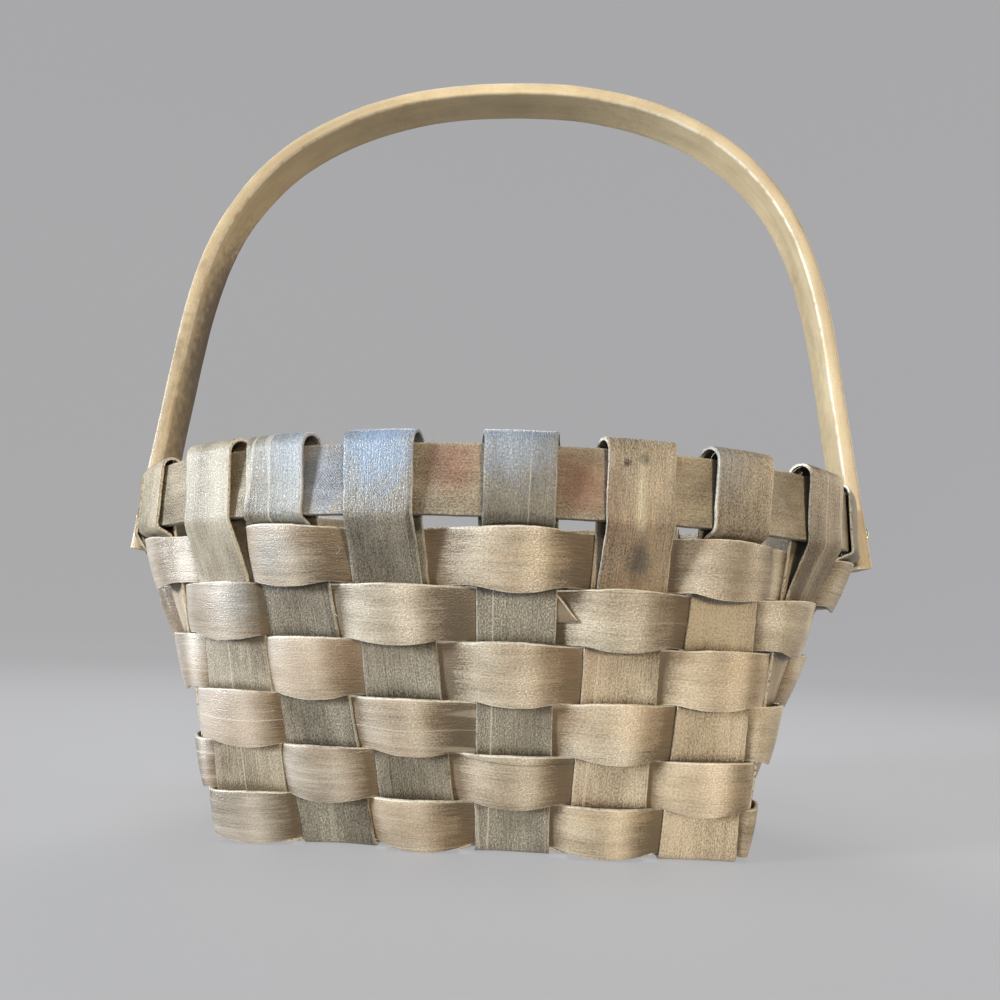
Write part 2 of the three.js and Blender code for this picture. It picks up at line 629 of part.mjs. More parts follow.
const uprights = makeUprights();
for (let i = 0; i < LONG_COUNT; i++) addMesh(`long_splint_${i + 1}`, longSplint(uprights, i), uprightWood);
for (let i = 0; i < CROSS_COUNT; i++) addMesh(`cross_splint_${i + 1}`, crossSplint(uprights, i), crossWood);
for (let i = 0; i < WEAVER_ROWS; i++) addMesh(`weaver_row_${i + 1}`, weaverRow(uprights, i), weaverWood);
addMesh('rim_hoop', cut(wasm, rimHoop(), nailHoles(-2 * BAND_THICKNESS, BAND_THICKNESS)), rimWood);
addMesh('handle_hoop', handleHoop(wasm), handleWood);
addMesh('pivot_nail_left', pivotNail(-1), nailSteel);
addMesh('pivot_nail_right', pivotNail(1), nailSteel);

export default basket;
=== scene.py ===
"""Dresses a gathering basket: ten wide splints that are woven into the bottom and folded over a rim hoop,
six rings of weavers, a bent-wood swing handle and its two pivot nails. Metres, +Z up, front towards -Y."""

import json
import math
from dataclasses import dataclass, replace

import bmesh
import bpy
import numpy as np
from bpy.props import FloatProperty, FloatVectorProperty, IntProperty, PointerProperty
from mathutils import Matrix, Vector

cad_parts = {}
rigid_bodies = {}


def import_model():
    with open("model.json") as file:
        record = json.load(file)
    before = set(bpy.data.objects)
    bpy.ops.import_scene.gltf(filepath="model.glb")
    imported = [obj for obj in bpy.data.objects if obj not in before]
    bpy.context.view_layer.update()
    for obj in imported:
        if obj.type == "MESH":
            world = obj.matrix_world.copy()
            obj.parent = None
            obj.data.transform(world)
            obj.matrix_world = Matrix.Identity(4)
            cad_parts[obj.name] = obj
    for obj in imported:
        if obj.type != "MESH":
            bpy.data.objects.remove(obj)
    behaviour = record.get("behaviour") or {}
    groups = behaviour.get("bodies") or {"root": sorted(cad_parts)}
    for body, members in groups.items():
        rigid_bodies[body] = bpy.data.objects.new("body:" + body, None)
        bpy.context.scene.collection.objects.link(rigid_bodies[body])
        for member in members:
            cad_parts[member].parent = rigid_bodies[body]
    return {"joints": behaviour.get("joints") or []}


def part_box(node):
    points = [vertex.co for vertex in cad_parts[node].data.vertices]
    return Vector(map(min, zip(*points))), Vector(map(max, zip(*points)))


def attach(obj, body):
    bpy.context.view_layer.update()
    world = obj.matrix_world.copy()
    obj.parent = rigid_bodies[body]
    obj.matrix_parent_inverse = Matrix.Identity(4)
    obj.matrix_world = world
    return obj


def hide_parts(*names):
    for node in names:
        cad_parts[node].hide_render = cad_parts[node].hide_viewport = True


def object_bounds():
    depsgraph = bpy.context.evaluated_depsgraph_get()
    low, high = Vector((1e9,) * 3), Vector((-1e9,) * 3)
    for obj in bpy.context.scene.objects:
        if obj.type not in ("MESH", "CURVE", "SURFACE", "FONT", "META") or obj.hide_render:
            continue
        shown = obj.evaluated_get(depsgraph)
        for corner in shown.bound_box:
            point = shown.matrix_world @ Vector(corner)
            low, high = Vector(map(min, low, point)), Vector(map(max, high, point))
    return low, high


bl_info = {
    "name": "Splint Gathering Basket",
    "version": (1, 0, 0),
    "blender": (4, 5, 0),
    "location": "View3D > Sidebar > Basket",
    "description": "Makes a splint-woven gathering basket with a bent-wood swing handle",
    "category": "Add Mesh",
}

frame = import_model()
cad_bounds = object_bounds()

# Places taken from the frame
RIM_LOW, RIM_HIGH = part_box("rim_hoop")
HANDLE_LOW, HANDLE_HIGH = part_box("handle_hoop")
SWING = frame["joints"][0]
PIVOT = Vector(SWING["pos_m"])
BASKET_BODY = SWING["parent"]
HANDLE_BODY = SWING["child"]

# Where the uprights stand: angles round the rim from the middle of the front, positive to the right, and
# how far each front-to-back splint lies from an even spacing
FRONT_RIM_ANGLES = (-38.3, -26.2, -11.8, 5.2, 20, 34.8)
RIGHT_RIM_ANGLES = (53, 71, 109, 127)
LEFT_RIM_ANGLES = (-58, -73, -108, -125)
LONG_SPLINT_SHIFTS = (0.0004, -0.0009, -0.0023, -0.002, -0.0008, 0.0002)
LONG_COUNT = len(LONG_SPLINT_SHIFTS)
CROSS_COUNT = len(RIGHT_RIM_ANGLES)
UPRIGHT_COUNT = 2 * (LONG_COUNT + CROSS_COUNT)

# How each row's share of the wall compares with an even share, from the rim down, and the upright
# behind which its ends lap, counted round from the front's left
ROW_SHARES = (1.0, 1.03, 1.07, 1.03, 0.95, 0.92)
LAP_UPRIGHTS = (13, 4, 15, 12, 11, 14)
WEAVER_ROWS = len(ROW_SHARES)
ROW_WAVES = (2, 3, 5, 7)
ROW_TURN = 1.7

# Columns of a station on a strip's path
MIDDLE = slice(0, 3)
ACROSS = slice(3, 6)
WIDTH = 6
THICK = 7
RUB = 8
COVER = 9


def size(name, default, description):
    """A length that a user may change."""
    return FloatProperty(
        name=name, default=default, description=description, unit="LENGTH", subtype="DISTANCE"
    )


def amount(name, default, description):
    """A plain number that a user may change."""
    return FloatProperty(name=name, default=default, min=0, description=description)


class BasketSizes(bpy.types.PropertyGroup):
    """Sizes of the strips, the folds and the weave."""

    splint_thickness: size("Splint thickness", 0.0012, "Thickness of the wide splints")
    long_width: size("Long splint width", 0.0255, "Width of the splints that run from front to back")
    cross_width: size("Cross splint width", 0.0235, "Width of the splints that run from left to right")
    long_gap: size("Long splint gap", 0.0048, "Between the front-to-back splints on the bottom")
    cross_gap: size("Cross splint gap", 0.0028, "Between the left-to-right splints on the bottom")
    edge_margin: size("Edge margin", 0.0024, "From the last splint on the bottom to the foot of the wall")
    bend_radius: size("Bend radius", 0.0026, "Where a splint turns up from the bottom")
    clearance: size("Clearance", 0.0003, "Left between strips that touch")
    band_thickness: size("Rim thickness", 0.0038, "Thickness of the rim hoop")
    loop_gap: size("Loop gap", 0.0024, "Between the rim hoop and a fold at its top")
    tight_loop_gap: size("Tight loop gap", 0.0005, "The same for the folds beside the handle")
    settle_height: size("Settle height", 0.008, "Above the rim's foot, where a fold comes in to the rim")
    tail_width: size("Folded end width", 0.0225, "Width of the ends that are folded down")
    tail_tuck: size("Tuck", 0.013, "Length of a folded end behind its weaver")
    tuck_approach: size("Tuck approach", 0.0022, "Above its weaver, where a long end reaches the upright")
    weaver_thickness: size("Weaver thickness", 0.0011, "Thickness of the weavers")
    top_row_gap: size("Top row gap", 0.0035, "Between the rim's lower edge and the top row")
    foot_gap: size("Foot gap", 0.0018, "Between the ground and the bottom row")
    bow: size("Bow", 0.0026, "How far a weaver stands off where it passes over an upright")
    full_above: size("Full above", 0.0003, "How much taller a weaver shows there, at its upper edge")
    full_below: size("Full below", 0.0021, "How much taller a weaver shows there, at its lower edge")
    handle_thickness: size("Handle thickness", 0.006, "Thickness of the handle hoop")
    side_gap: size("Handle gap", 0.0025, "Between the rim hoop and a leg of the handle")
    nail_head: size("Nail head", 0.009, "Diameter of a pivot nail's head")
    nail_shank: size("Nail shank", 0.0032, "Diameter of a pivot nail's shank")


def colour(name, default, description):
    """A colour that a user may change."""
    return FloatVectorProperty(
        name=name, default=default, description=description, subtype="COLOR", size=3, min=0, max=1
    )


class BasketColours(bpy.types.PropertyGroup):
    """Stains of the wood, each with its rubbed and its deep colour, the painted blue sheen and the painted
    cool light, and the colour of the metal.
    """

    cream_pale: colour("Cream stain, rubbed", (0.60, 0.545, 0.385), "Where the cream stain is thin")
    cream_deep: colour("Cream stain, deep", (0.14, 0.113, 0.075), "Where the cream stain is deep")
    ash_pale: colour("Ash stain, rubbed", (0.34, 0.37, 0.38), "Where the ash stain is thin")
    ash_deep: colour("Ash stain, deep", (0.07, 0.068, 0.066), "Where the ash stain is deep")
    olive_pale: colour("Olive stain, rubbed", (0.32, 0.29, 0.225), "Where the olive stain is thin")
    olive_deep: colour("Olive stain, deep", (0.06, 0.053, 0.039), "Where the olive stain is deep")
    tan_pale: colour("Tan stain, rubbed", (0.60, 0.495, 0.345), "Where the tan stain is thin")
    tan_deep: colour("Tan stain, deep", (0.10, 0.073, 0.047), "Where the tan stain is deep")
    greige_pale: colour("Greige stain, rubbed", (0.70, 0.615, 0.475), "Where the greige stain is thin")
    greige_deep: colour("Greige stain, deep", (0.135, 0.106, 0.07), "Where the greige stain is deep")
    brown_pale: colour("Brown stain, rubbed", (0.52, 0.385, 0.225), "Where the brown stain is thin")
    brown_deep: colour("Brown stain, deep", (0.09, 0.055, 0.028), "Where the brown stain is deep")
    hoop_pale: colour("Rim stain, rubbed", (0.46, 0.39, 0.28), "Where the rim's stain is thin")
    hoop_deep: colour("Rim stain, deep", (0.12, 0.098, 0.066), "Where the rim's stain is deep")
    handle_pale: colour("Handle stain, rubbed", (0.66, 0.52, 0.31), "Where the handle's stain is thin")
    handle_deep: colour("Handle stain, deep", (0.25, 0.185, 0.10), "Where the handle's stain is deep")
    # Painted sky reflection on the tops of some folds and on the rim, partly a bluish stain
    sheen_blue: colour("Blue sheen", (0.21, 0.285, 0.40), "The bluish stain on some of the folds")
    # Painted cool light on the weavers' left side, where they are also worn smooth
    polished: colour("Polished", (0.60, 0.555, 0.51), "Weavers worn smooth on the left")
    bare_wood: colour("Bare wood", (0.42, 0.27, 0.155), "The wood's own colour, where no stain took")
    red_wood: colour("Red wood", (0.25, 0.125, 0.078), "Reddish heartwood in the rim")
    # Also the colour of the painted glints and of the painted highlight on the weavers' upper arrises
    cut_edge: colour("Cut edge", (0.82, 0.77, 0.65), "Worn edges of the strips and loose fibres")
    crack: colour("Crack", (0.03, 0.023, 0.016), "Inside the cracks and round the knots")
    nail: colour("Nail", (0.78, 0.70, 0.50), "The plated steel of the pivot nails")
    floor: colour("Floor", (0.15, 0.15, 0.153), "The pale floor of the stage, which also glows")


class BasketWear(bpy.types.PropertyGroup):
    """How uneven and how frayed the strips are."""

    nick: size("Ragged edge", 0.0004, "How far a cut edge wanders within a few millimetres")
    wander: size("Uneven width", 0.0006, "How far a cut edge wanders over a few centimetres")
    ripple: size("Uneven face", 0.0003, "How far a strip's face rises and falls")
    row_wander: size("Uneven rows", 0.0004, "How far the rows rise and fall along the wall")
    fibre_density: amount("Loose fibres", 3500, "Loose fibres on a square metre of cut edge")
    lying_density: amount("Lying fibres", 250, "Lying fibres on a square metre of a strip's face")
    splinter_density: amount("Splinters", 260000, "Splinters on a square metre of the rim's top edge")
    fibre_length: size("Fibre length", 0.006, "Length of the longest loose fibre")
    seed: IntProperty(name="Seed", default=5, min=0, description="Where the fibres and splinters are")


class BasketStage(bpy.types.PropertyGroup):
    """The lights of the stage."""

    key: amount("Key light", 25, "Power of the cool light on the left")
    fill: amount("Fill light", 9, "Power of the warm light in front")
    top: amount("Top light", 1.3, "Power of the cool light above")
    back: amount("Back light", 3, "Power of the light behind")
    side: amount("Side light", 1.5, "Power of the light on the right")
    room: amount("Room light", 0.045, "Strength of the light from all round")


# Places of the strips
def turned(along):
    """The direction to the right of a direction in plan: outwards, where the path runs anticlockwise."""
    return np.array([along[1], -along[0]])


def unit(vector):
    """The vector's direction."""
    return vector / np.linalg.norm(vector)


def mix(first, second, share):
    """The value at a share of the way from the first to the second."""
    return first + (second - first) * share


def oval(degrees):
    """A point on the rim's outer face in plan, the direction round it and the radius of curvature."""
    angle = math.radians(degrees)
    point = np.array([RIM_HIGH.x * math.sin(angle), -RIM_HIGH.y * math.cos(angle)])
    speed = np.array([RIM_HIGH.x * math.cos(angle), RIM_HIGH.y * math.sin(angle)])
    length = np.linalg.norm(speed)
    return point, speed / length, length**3 / (RIM_HIGH.x * RIM_HIGH.y)


class Upright:
    """One of the twenty ends that stand in the wall, with the fold that it makes over the rim."""

    def __init__(self, sizes, index, foot, foot_along, degrees, width):
        point, self.head_along, radius = oval(degrees)
        self.foot = np.array(foot)
        self.foot_along = np.array(foot_along, float)
        self.width = width
        self.over = index % 2 == 0
        self.hollow = (width / 2) ** 2 / (2 * (radius - sizes.band_thickness))
        inset = sizes.band_thickness + sizes.clearance + sizes.splint_thickness / 2 + self.hollow
        self.head = point - turned(self.head_along) * inset

    def at(self, height):
        """Its middle in plan, its direction across, its outward normal and its slant, at a height."""
        share = min(height / RIM_LOW.z, 1)
        middle = mix(self.foot, self.head, share)
        along = unit(mix(self.foot_along, self.head_along, max(share, 0)))
        out = turned(along)
        travel = (self.head - self.foot) @ out / RIM_LOW.z
        return middle, along, out, math.sqrt(1 + travel**2) if share < 1 else 1

    def plan(self, across, offset, height):
        """A point in plan that lies this far across it and this far outside it."""
        middle, along, out, slant = self.at(height)
        return middle + along * across + out * offset * slant


class Layout:
    """The places that follow from the sizes: the feet and heads of the uprights, and the rows."""

    def __init__(self, sizes, wear):
        self.sizes = sizes
        self.wear = wear
        self.layer = sizes.splint_thickness + sizes.clearance
        self.weave = (sizes.splint_thickness + sizes.weaver_thickness) / 2 + sizes.clearance
        self.lap = sizes.weaver_thickness + sizes.clearance
        long_pitch = sizes.long_width + sizes.long_gap
        cross_pitch = sizes.cross_width + sizes.cross_gap
        half_length = (LONG_COUNT * long_pitch - sizes.long_gap) / 2 + sizes.edge_margin
        half_depth = (CROSS_COUNT * cross_pitch - sizes.cross_gap) / 2 + sizes.edge_margin
        longs = [
            (i - (LONG_COUNT - 1) / 2) * long_pitch + shift for i, shift in enumerate(LONG_SPLINT_SHIFTS)
        ]
        crosses = [(i - (CROSS_COUNT - 1) / 2) * cross_pitch for i in range(CROSS_COUNT)]
        self.uprights = []
        for x, degrees in zip(longs, FRONT_RIM_ANGLES):
            self.stand((x, -half_depth), (1, 0), degrees, sizes.long_width)
        for y, degrees in zip(crosses, RIGHT_RIM_ANGLES):
            self.stand((half_length, y), (0, 1), degrees, sizes.cross_width)
        for x, degrees in reversed(list(zip(longs, FRONT_RIM_ANGLES))):
            self.stand((x, half_depth), (-1, 0), 180 - degrees, sizes.long_width)
        for y, degrees in reversed(list(zip(crosses, LEFT_RIM_ANGLES))):
            self.stand((-half_length, y), (0, -1), degrees, sizes.cross_width)

    def stand(self, foot, along, degrees, width):
        """Adds an upright at a foot, with its direction across, its place on the rim and its width."""
        self.uprights.append(Upright(self.sizes, len(self.uprights), foot, along, degrees, width))

    def row_top(self, row):
        """Height of the top of a row, which is the bottom of the row above it."""
        top = RIM_LOW.z - self.sizes.top_row_gap
        return top - sum(ROW_SHARES[:row]) / sum(ROW_SHARES) * (top - self.sizes.foot_gap)

    def row_edge(self, row, index):
        """The same at a place round the wall, given in uprights: it rises and falls a little."""
        if row == WEAVER_ROWS:
            return self.row_top(row)
        turn = math.tau * index / UPRIGHT_COUNT
        waves = sum(math.sin(count * (turn + ROW_TURN * row)) / count for count in ROW_WAVES)
        return self.row_top(row) + self.wear.row_wander * waves

    def exposure(self, upright, height):
        """1 in the middle of a row that passes behind the upright, 0 beside and under the other rows."""
        for row in range(WEAVER_ROWS):
            low, high = self.row_top(row + 1), self.row_top(row)
            if low <= height <= high and (row % 2 == 1) != upright.over:
                return 1 - (2 * (height - low) / (high - low) - 1) ** 2
        return 0

    def bottom_height(self, over):
        """Height of a splint's middle on the bottom, over or under the one that it crosses."""
        wave = self.layer / 2
        return wave + self.sizes.splint_thickness / 2 + (wave if over else -wave)


def station(middle, across, width, thick, rub, cover=0.0):
    """A place on a strip's path, with the section, and the wear, painted light and painted shade that it
    has there.
    """
    return [*middle, *across, width, thick, rub, cover]


def eased(rows, line, step, radius):
    """The same rows at even steps along their line, with the bends rounded over about a radius."""
    rows = np.asarray(rows, float)
    run = np.concatenate(([0], np.cumsum(np.linalg.norm(np.diff(line, axis=0), axis=1))))
    count = max(int(run[-1] / step), 2)
    places = np.linspace(0, run[-1], count + 1)
    dense = np.column_stack([np.interp(places, run, column) for column in rows.T])
    spread = int(3 * radius / step) + 1
    weights = np.exp(-0.5 * (np.arange(-spread, spread + 1) * step / radius) ** 2)
    before = 2 * dense[0] - dense[spread:0:-1]
    after = 2 * dense[-1] - dense[-2 : -spread - 2 : -1]
    padded = np.concatenate([before, dense, after])
    return np.column_stack([np.convolve(column, weights / weights.sum(), "valid") for column in padded.T])


# The wide splints
LOOP_STEPS = 16
EDGE_STEPS = 6
WALL_STEPS = 60
SPLINT_STEP = 0.0012
SPLINT_EASE = 0.0009
LOOP_DROP = 0.0004
TUCK_SLOPE = math.radians(62)
HEAD_STRAIGHT = 0.002
SETTLE_SHARE = 0.25
LOOSENESS_RANGE = (0.85, 1.2)
DRIFT_RANGE = (-0.0011, 0.0011)

# How much wear and painted light a splint has: painted shade where the weavers and the rim hide it, more
# on the parts that show, and most on the painted lighter tops of the folds
HIDDEN_RUB = -0.3
SHOWN_RUB = 0.55
SHOWN_GAIN = 2.5
FOOT_RUB = 0.6
BEHIND_RIM_RUB = 0.1
BOTTOM_RUB = 0.3
FOLD_RUB = 0.3
FOLD_TOP_RUB = 0.35


def fold_path(layout, upright, looseness):
    """Distances outside the upright and heights of the loop over the rim and of the tucked end."""
    sizes = layout.sizes
    band_outer = sizes.splint_thickness / 2 + sizes.clearance + sizes.band_thickness + upright.hollow
    beside_handle = abs(upright.head[1]) < RIM_HIGH.y / 2
    gap = sizes.tight_loop_gap if beside_handle else sizes.loop_gap * looseness
    radius = (band_outer + gap + sizes.splint_thickness / 2) / 2
    turn = RIM_HIGH.z - LOOP_DROP
    path = []
    for i in range(LOOP_STEPS + 1):
        angle = math.pi * i / LOOP_STEPS
        path.append((radius * (1 - math.cos(angle)), turn + radius * math.sin(angle)))
    pressed = band_outer + sizes.clearance + sizes.splint_thickness / 2
    path.append((mix(pressed, 2 * radius, SETTLE_SHARE), RIM_LOW.z + sizes.settle_height))
    dive = RIM_LOW.z - sizes.clearance - sizes.splint_thickness / 4
    path.append((pressed, dive))
    tuck_top = layout.row_top(1 if upright.over else 0)
    short_dive = dive - (pressed - layout.layer) / math.tan(TUCK_SLOPE)
    path.append((layout.layer, tuck_top + sizes.tuck_approach if upright.over else short_dive))
    path.append((layout.layer, tuck_top - sizes.tail_tuck))
    return path


def wall_path(layout, upright, looseness, drift):
    """One end of a splint, from the bottom's edge up to the tip of the folded end."""
    sizes = layout.sizes
    foot_height = layout.bottom_height(upright.over)
    rows = []

    def add(offset, height, rub, cover=0.0, width=upright.width, shift=0):
        middle, along, out, slant = upright.at(height)
        place = middle + out * offset * slant + along * shift
        rows.append(station((*place, height), (*along, 0), width, sizes.splint_thickness, rub, cover))

    corner, along, out, _ = upright.at(foot_height)
    wall = upright.at(foot_height + sizes.bend_radius)[0]
    for i in range(EDGE_STEPS):
        share = i / EDGE_STEPS
        first = mix(corner - out * sizes.bend_radius, corner, share)
        place = mix(first, mix(corner, wall, share), share)
        height = foot_height + sizes.bend_radius * share**2
        across = (*along, 0)
        rows.append(station((*place, height), across, upright.width, sizes.splint_thickness, FOOT_RUB))
    start = foot_height + sizes.bend_radius
    # Where the weavers hide the upright, it is painted with shade
    for i in range(WALL_STEPS + 1):
        height = mix(start, RIM_LOW.z - 2 * sizes.clearance, i / WALL_STEPS)
        shown = min(SHOWN_GAIN * layout.exposure(upright, height), 1)
        add(0, height, mix(HIDDEN_RUB, SHOWN_RUB, shown))
    # Behind the rim and inside the loop the back is painted with shade (cover 1), and the fold's top is
    # painted lighter
    add(0, RIM_LOW.z + HEAD_STRAIGHT, BEHIND_RIM_RUB, 1)
    fold = fold_path(layout, upright, looseness)
    tail_width = min(sizes.tail_width, upright.width)
    for i, (offset, height) in enumerate(fold):
        share = min(i / LOOP_STEPS, 1)
        down = max(i - LOOP_STEPS, 0) / (len(fold) - 1 - LOOP_STEPS)
        rub = FOLD_RUB + FOLD_TOP_RUB * share * (1 - down)
        add(offset, height, rub, 1, mix(upright.width, tail_width, share), drift * down)
    return rows


def bottom_path(layout, start, end, crossed):
    """The crossings on the bottom, over and under in turn, without the two outermost edges."""
    run = unit(end.foot - start.foot)
    places = sorted(((other.foot - start.foot) @ run, other.width) for other in crossed)
    rows = []
    for i, (middle, width) in enumerate(places):
        height = layout.bottom_height((i % 2 == 0) == start.over)
        for side in (-1, 1):
            place = start.foot + run * (middle + side * width / 2)
            across = (*end.foot_along, 0)
            thickness = layout.sizes.splint_thickness
            rows.append(station((*place, height), across, end.width, thickness, BOTTOM_RUB))
    return rows[1:-1]


def splint_path(layout, start, end, crossed, chance):
    """A whole splint: down one wall, across the bottom and up the opposite wall."""
    walls = []
    for upright in (start, end):
        looseness = chance.uniform(*LOOSENESS_RANGE)
        drift = chance.uniform(*DRIFT_RANGE)
        walls.append(np.array(wall_path(layout, upright, looseness, drift)))
    down = walls[0][::-1].copy()
    down[:, ACROSS] *= -1
    rows = np.concatenate([down, bottom_path(layout, start, end, crossed), walls[1]])
    return eased(rows, rows[:, MIDDLE], SPLINT_STEP, SPLINT_EASE)


# The weavers
BOW_PLACES = (-1, -0.75, -0.5, -0.25, 0, 0.25, 0.5, 0.75, 1)
BEHIND_PLACES = (-1, -0.33, 0.33, 1)
BEND_MARGIN = 0.0007
CORNER_SHARE = 0.5
CORNER_CHANGE = 0.25
CORNER_STEP = 0.05
CORNER_COSINE = 0.5
LAP_END_INSET = 0.001
FOOT_ROW_LIFT = 0.0009
TUCK_LIFT = 0.0009
ROW_GAP = 0.0003
WEAVER_STEP = 0.0012
WEAVER_EASE = 0.0019
BOW_RANGE = (0.85, 1.25)

# The one end that shows, cut slanting: how far it reaches past its upright and stands off it, and the
# shares of the row's height that it takes there
SHOWN_END_ROW = 1
SHOWN_END_REACH = 0.0058
SHOWN_END_LIFT = 0.0036
SHOWN_END_START = 0.25
SHOWN_END_FOOT = 0.4
SHOWN_END_TIP = 0.46

# How much wear and painted light a weaver has: a painted highlight band across each bow, right of the
# middle and most on the basket's right side, painted light towards each bow's left end, and painted shade
# where it passes behind the uprights and on its inner face
BOW_RUB = 0.1
SWELL_RUB = 0.25
CORNER_RUB = 0.7
CREST_RANGE = (0.05, 0.45)
CREST_WIDTH = 0.28
SHINE_RANGE = (0.7, 1.2)
LEFT_SHINE = 0.25
LEFT_PALE = 0.45
INNER_SHADE = 0.45


def corner_plan(before, after, place, height, offsets):
    """A point of the bend round a corner of the wall, at one of three places (-1, 0 and 1)."""
    leaving_middle, leaving_along, leaving_out, leaving_slant = before.at(height)
    arriving_middle, arriving_along, arriving_out, arriving_slant = after.at(height)
    first = leaving_middle + leaving_along * (before.width / 2 + BEND_MARGIN)
    last = arriving_middle - arriving_along * (after.width / 2 + BEND_MARGIN)
    reach = (last - first) @ arriving_out / (leaving_along @ arriving_out)
    meeting = first + leaving_along * reach
    near = mix(first, meeting, CORNER_SHARE)
    far = mix(last, meeting, CORNER_SHARE)
    middle = mix((near + far) / 2, meeting, CORNER_SHARE / 2)
    out = unit(mix(leaving_out, arriving_out, (place + 1) / 2))
    offset = mix(offsets[0], offsets[1], 0.5 + CORNER_CHANGE * place)
    return (near, middle, far)[place + 1] + out * offset * (leaving_slant + arriving_slant) / 2


def weaver_path(layout, row, chance):
    """One ring of the weave, from its one end to the other, anticlockwise seen from above."""
    sizes = layout.sizes
    is_foot = row == WEAVER_ROWS - 1
    rise = FOOT_ROW_LIFT if is_foot else 0
    edges = []

    def is_outside(upright):
        return (row % 2 == 1) == upright.over

    def heights(index):
        return layout.row_edge(row + 1, index) + ROW_GAP, layout.row_edge(row, index)

    def add(plan, low, high, rub):
        edges.append([*plan(low), low, *plan(high), high, rub])

    def add_at(index, across, offset, swell, low_share=0, high_share=1, rub=HIDDEN_RUB):
        upright = layout.uprights[index % UPRIGHT_COUNT]
        bottom, top = heights(index + (0.5 - CORNER_STEP) * across / upright.width)
        full_below = min(sizes.full_below, bottom - sizes.clearance) if is_foot else sizes.full_below
        low = bottom + rise if offset < 0 else bottom - full_below * swell
        high = top + sizes.full_above * swell
        low, high = mix(low, high, low_share), mix(low, high, high_share)
        add(lambda height: upright.plan(across, offset, height), low, high, rub)

    def add_first_end(index, hidden, reach):
        for across in (-hidden, 0, reach):
            add_at(index, across, -layout.weave - layout.lap, 0)

    def add_last_end(index, hidden, reach):
        for across in (-reach, 0, hidden):
            add_at(index, across, -layout.weave, 0)

    def add_shown_end(index, hidden, reach):
        """The end that sticks out past its upright, cut slanting and narrower than its row."""
        add_at(index, -reach, -layout.weave, 0)
        add_at(index, 0, -layout.weave, 0, SHOWN_END_START)
        add_at(index, hidden, -layout.weave, 0, SHOWN_END_FOOT)
        tip = reach + SHOWN_END_REACH
        add_at(index, tip, -layout.weave + SHOWN_END_LIFT, 0, SHOWN_END_FOOT, SHOWN_END_TIP)

    for step in range(UPRIGHT_COUNT + 1):
        index = LAP_UPRIGHTS[row] - 1 + step
        upright = layout.uprights[index % UPRIGHT_COUNT]
        following = layout.uprights[(index + 1) % UPRIGHT_COUNT]
        reach = upright.width / 2 + BEND_MARGIN
        hidden = upright.width / 2 - LAP_END_INSET
        if step == 0:
            add_first_end(index, hidden, reach)
        elif step == UPRIGHT_COUNT and row == SHOWN_END_ROW:
            add_shown_end(index, hidden, reach)
        elif step == UPRIGHT_COUNT:
            add_last_end(index, hidden, reach)
        elif is_outside(upright):
            fold_room = layout.layer if row < 2 else 0
            fold_room += TUCK_LIFT if row == 0 else 0
            bow = sizes.bow * chance.uniform(*BOW_RANGE)
            crest = chance.uniform(*CREST_RANGE)
            rightness = 0.5 + upright.head[0] / RIM_HIGH.x / 2
            shine = chance.uniform(*SHINE_RANGE) * mix(LEFT_SHINE, 1, rightness)
            for place in BOW_PLACES:
                swell = 1 - place * place
                rub = BOW_RUB + LEFT_PALE * max(-place, 0) + SWELL_RUB * swell
                rub += shine * math.exp(-(((place - crest) / CREST_WIDTH) ** 2))
                add_at(index, place * reach, layout.weave + fold_room + bow * swell, swell, rub=rub)
        else:
            for place in BEHIND_PLACES:
                add_at(index, place * reach, -layout.weave, 0)
        if step < UPRIGHT_COUNT and abs(upright.foot_along @ following.foot_along) < CORNER_COSINE:
            offsets = [layout.weave * (1 if is_outside(side) else -1) for side in (upright, following)]
            for place in (-1, 0, 1):
                low, high = heights(index + 0.5 + CORNER_STEP * place)
                add(
                    lambda height: corner_plan(upright, following, place, height, offsets),
                    low,
                    high,
                    CORNER_RUB,
                )
    edges = np.array(edges)
    edges = eased(edges, (edges[:, 0:3] + edges[:, 3:6]) / 2, WEAVER_STEP, WEAVER_EASE)
    low, high = edges[:, 0:3], edges[:, 3:6]
    width = np.linalg.norm(high - low, axis=1)
    rows = np.zeros((len(edges), COVER + 1))
    rows[:, MIDDLE] = (low + high) / 2
    rows[:, ACROSS] = (high - low) / width[:, None]
    rows[:, WIDTH] = width
    rows[:, THICK] = sizes.weaver_thickness
    rows[:, RUB] = edges[:, 6]
    rows[:, COVER] = INNER_SHADE
    return rows


# The rim hoop and the handle
SCARF_DEGREES = 24
FEATHER = 0.0005
BAND_STEP_DEGREES = 0.75
ARCH_STEPS = 220
ARCH_CROWN = 2.2
ARCH_SHOULDER = 3.2
ARCH_SET = 0.0018
LEG_LEAN = math.tan(math.radians(5.5))
HANDLE_SPRING = 0.185
ARCH_STEP = 0.0015
ARCH_EASE = 0.003
HOOP_RUB = 0.4
HANDLE_RUB = 0.5


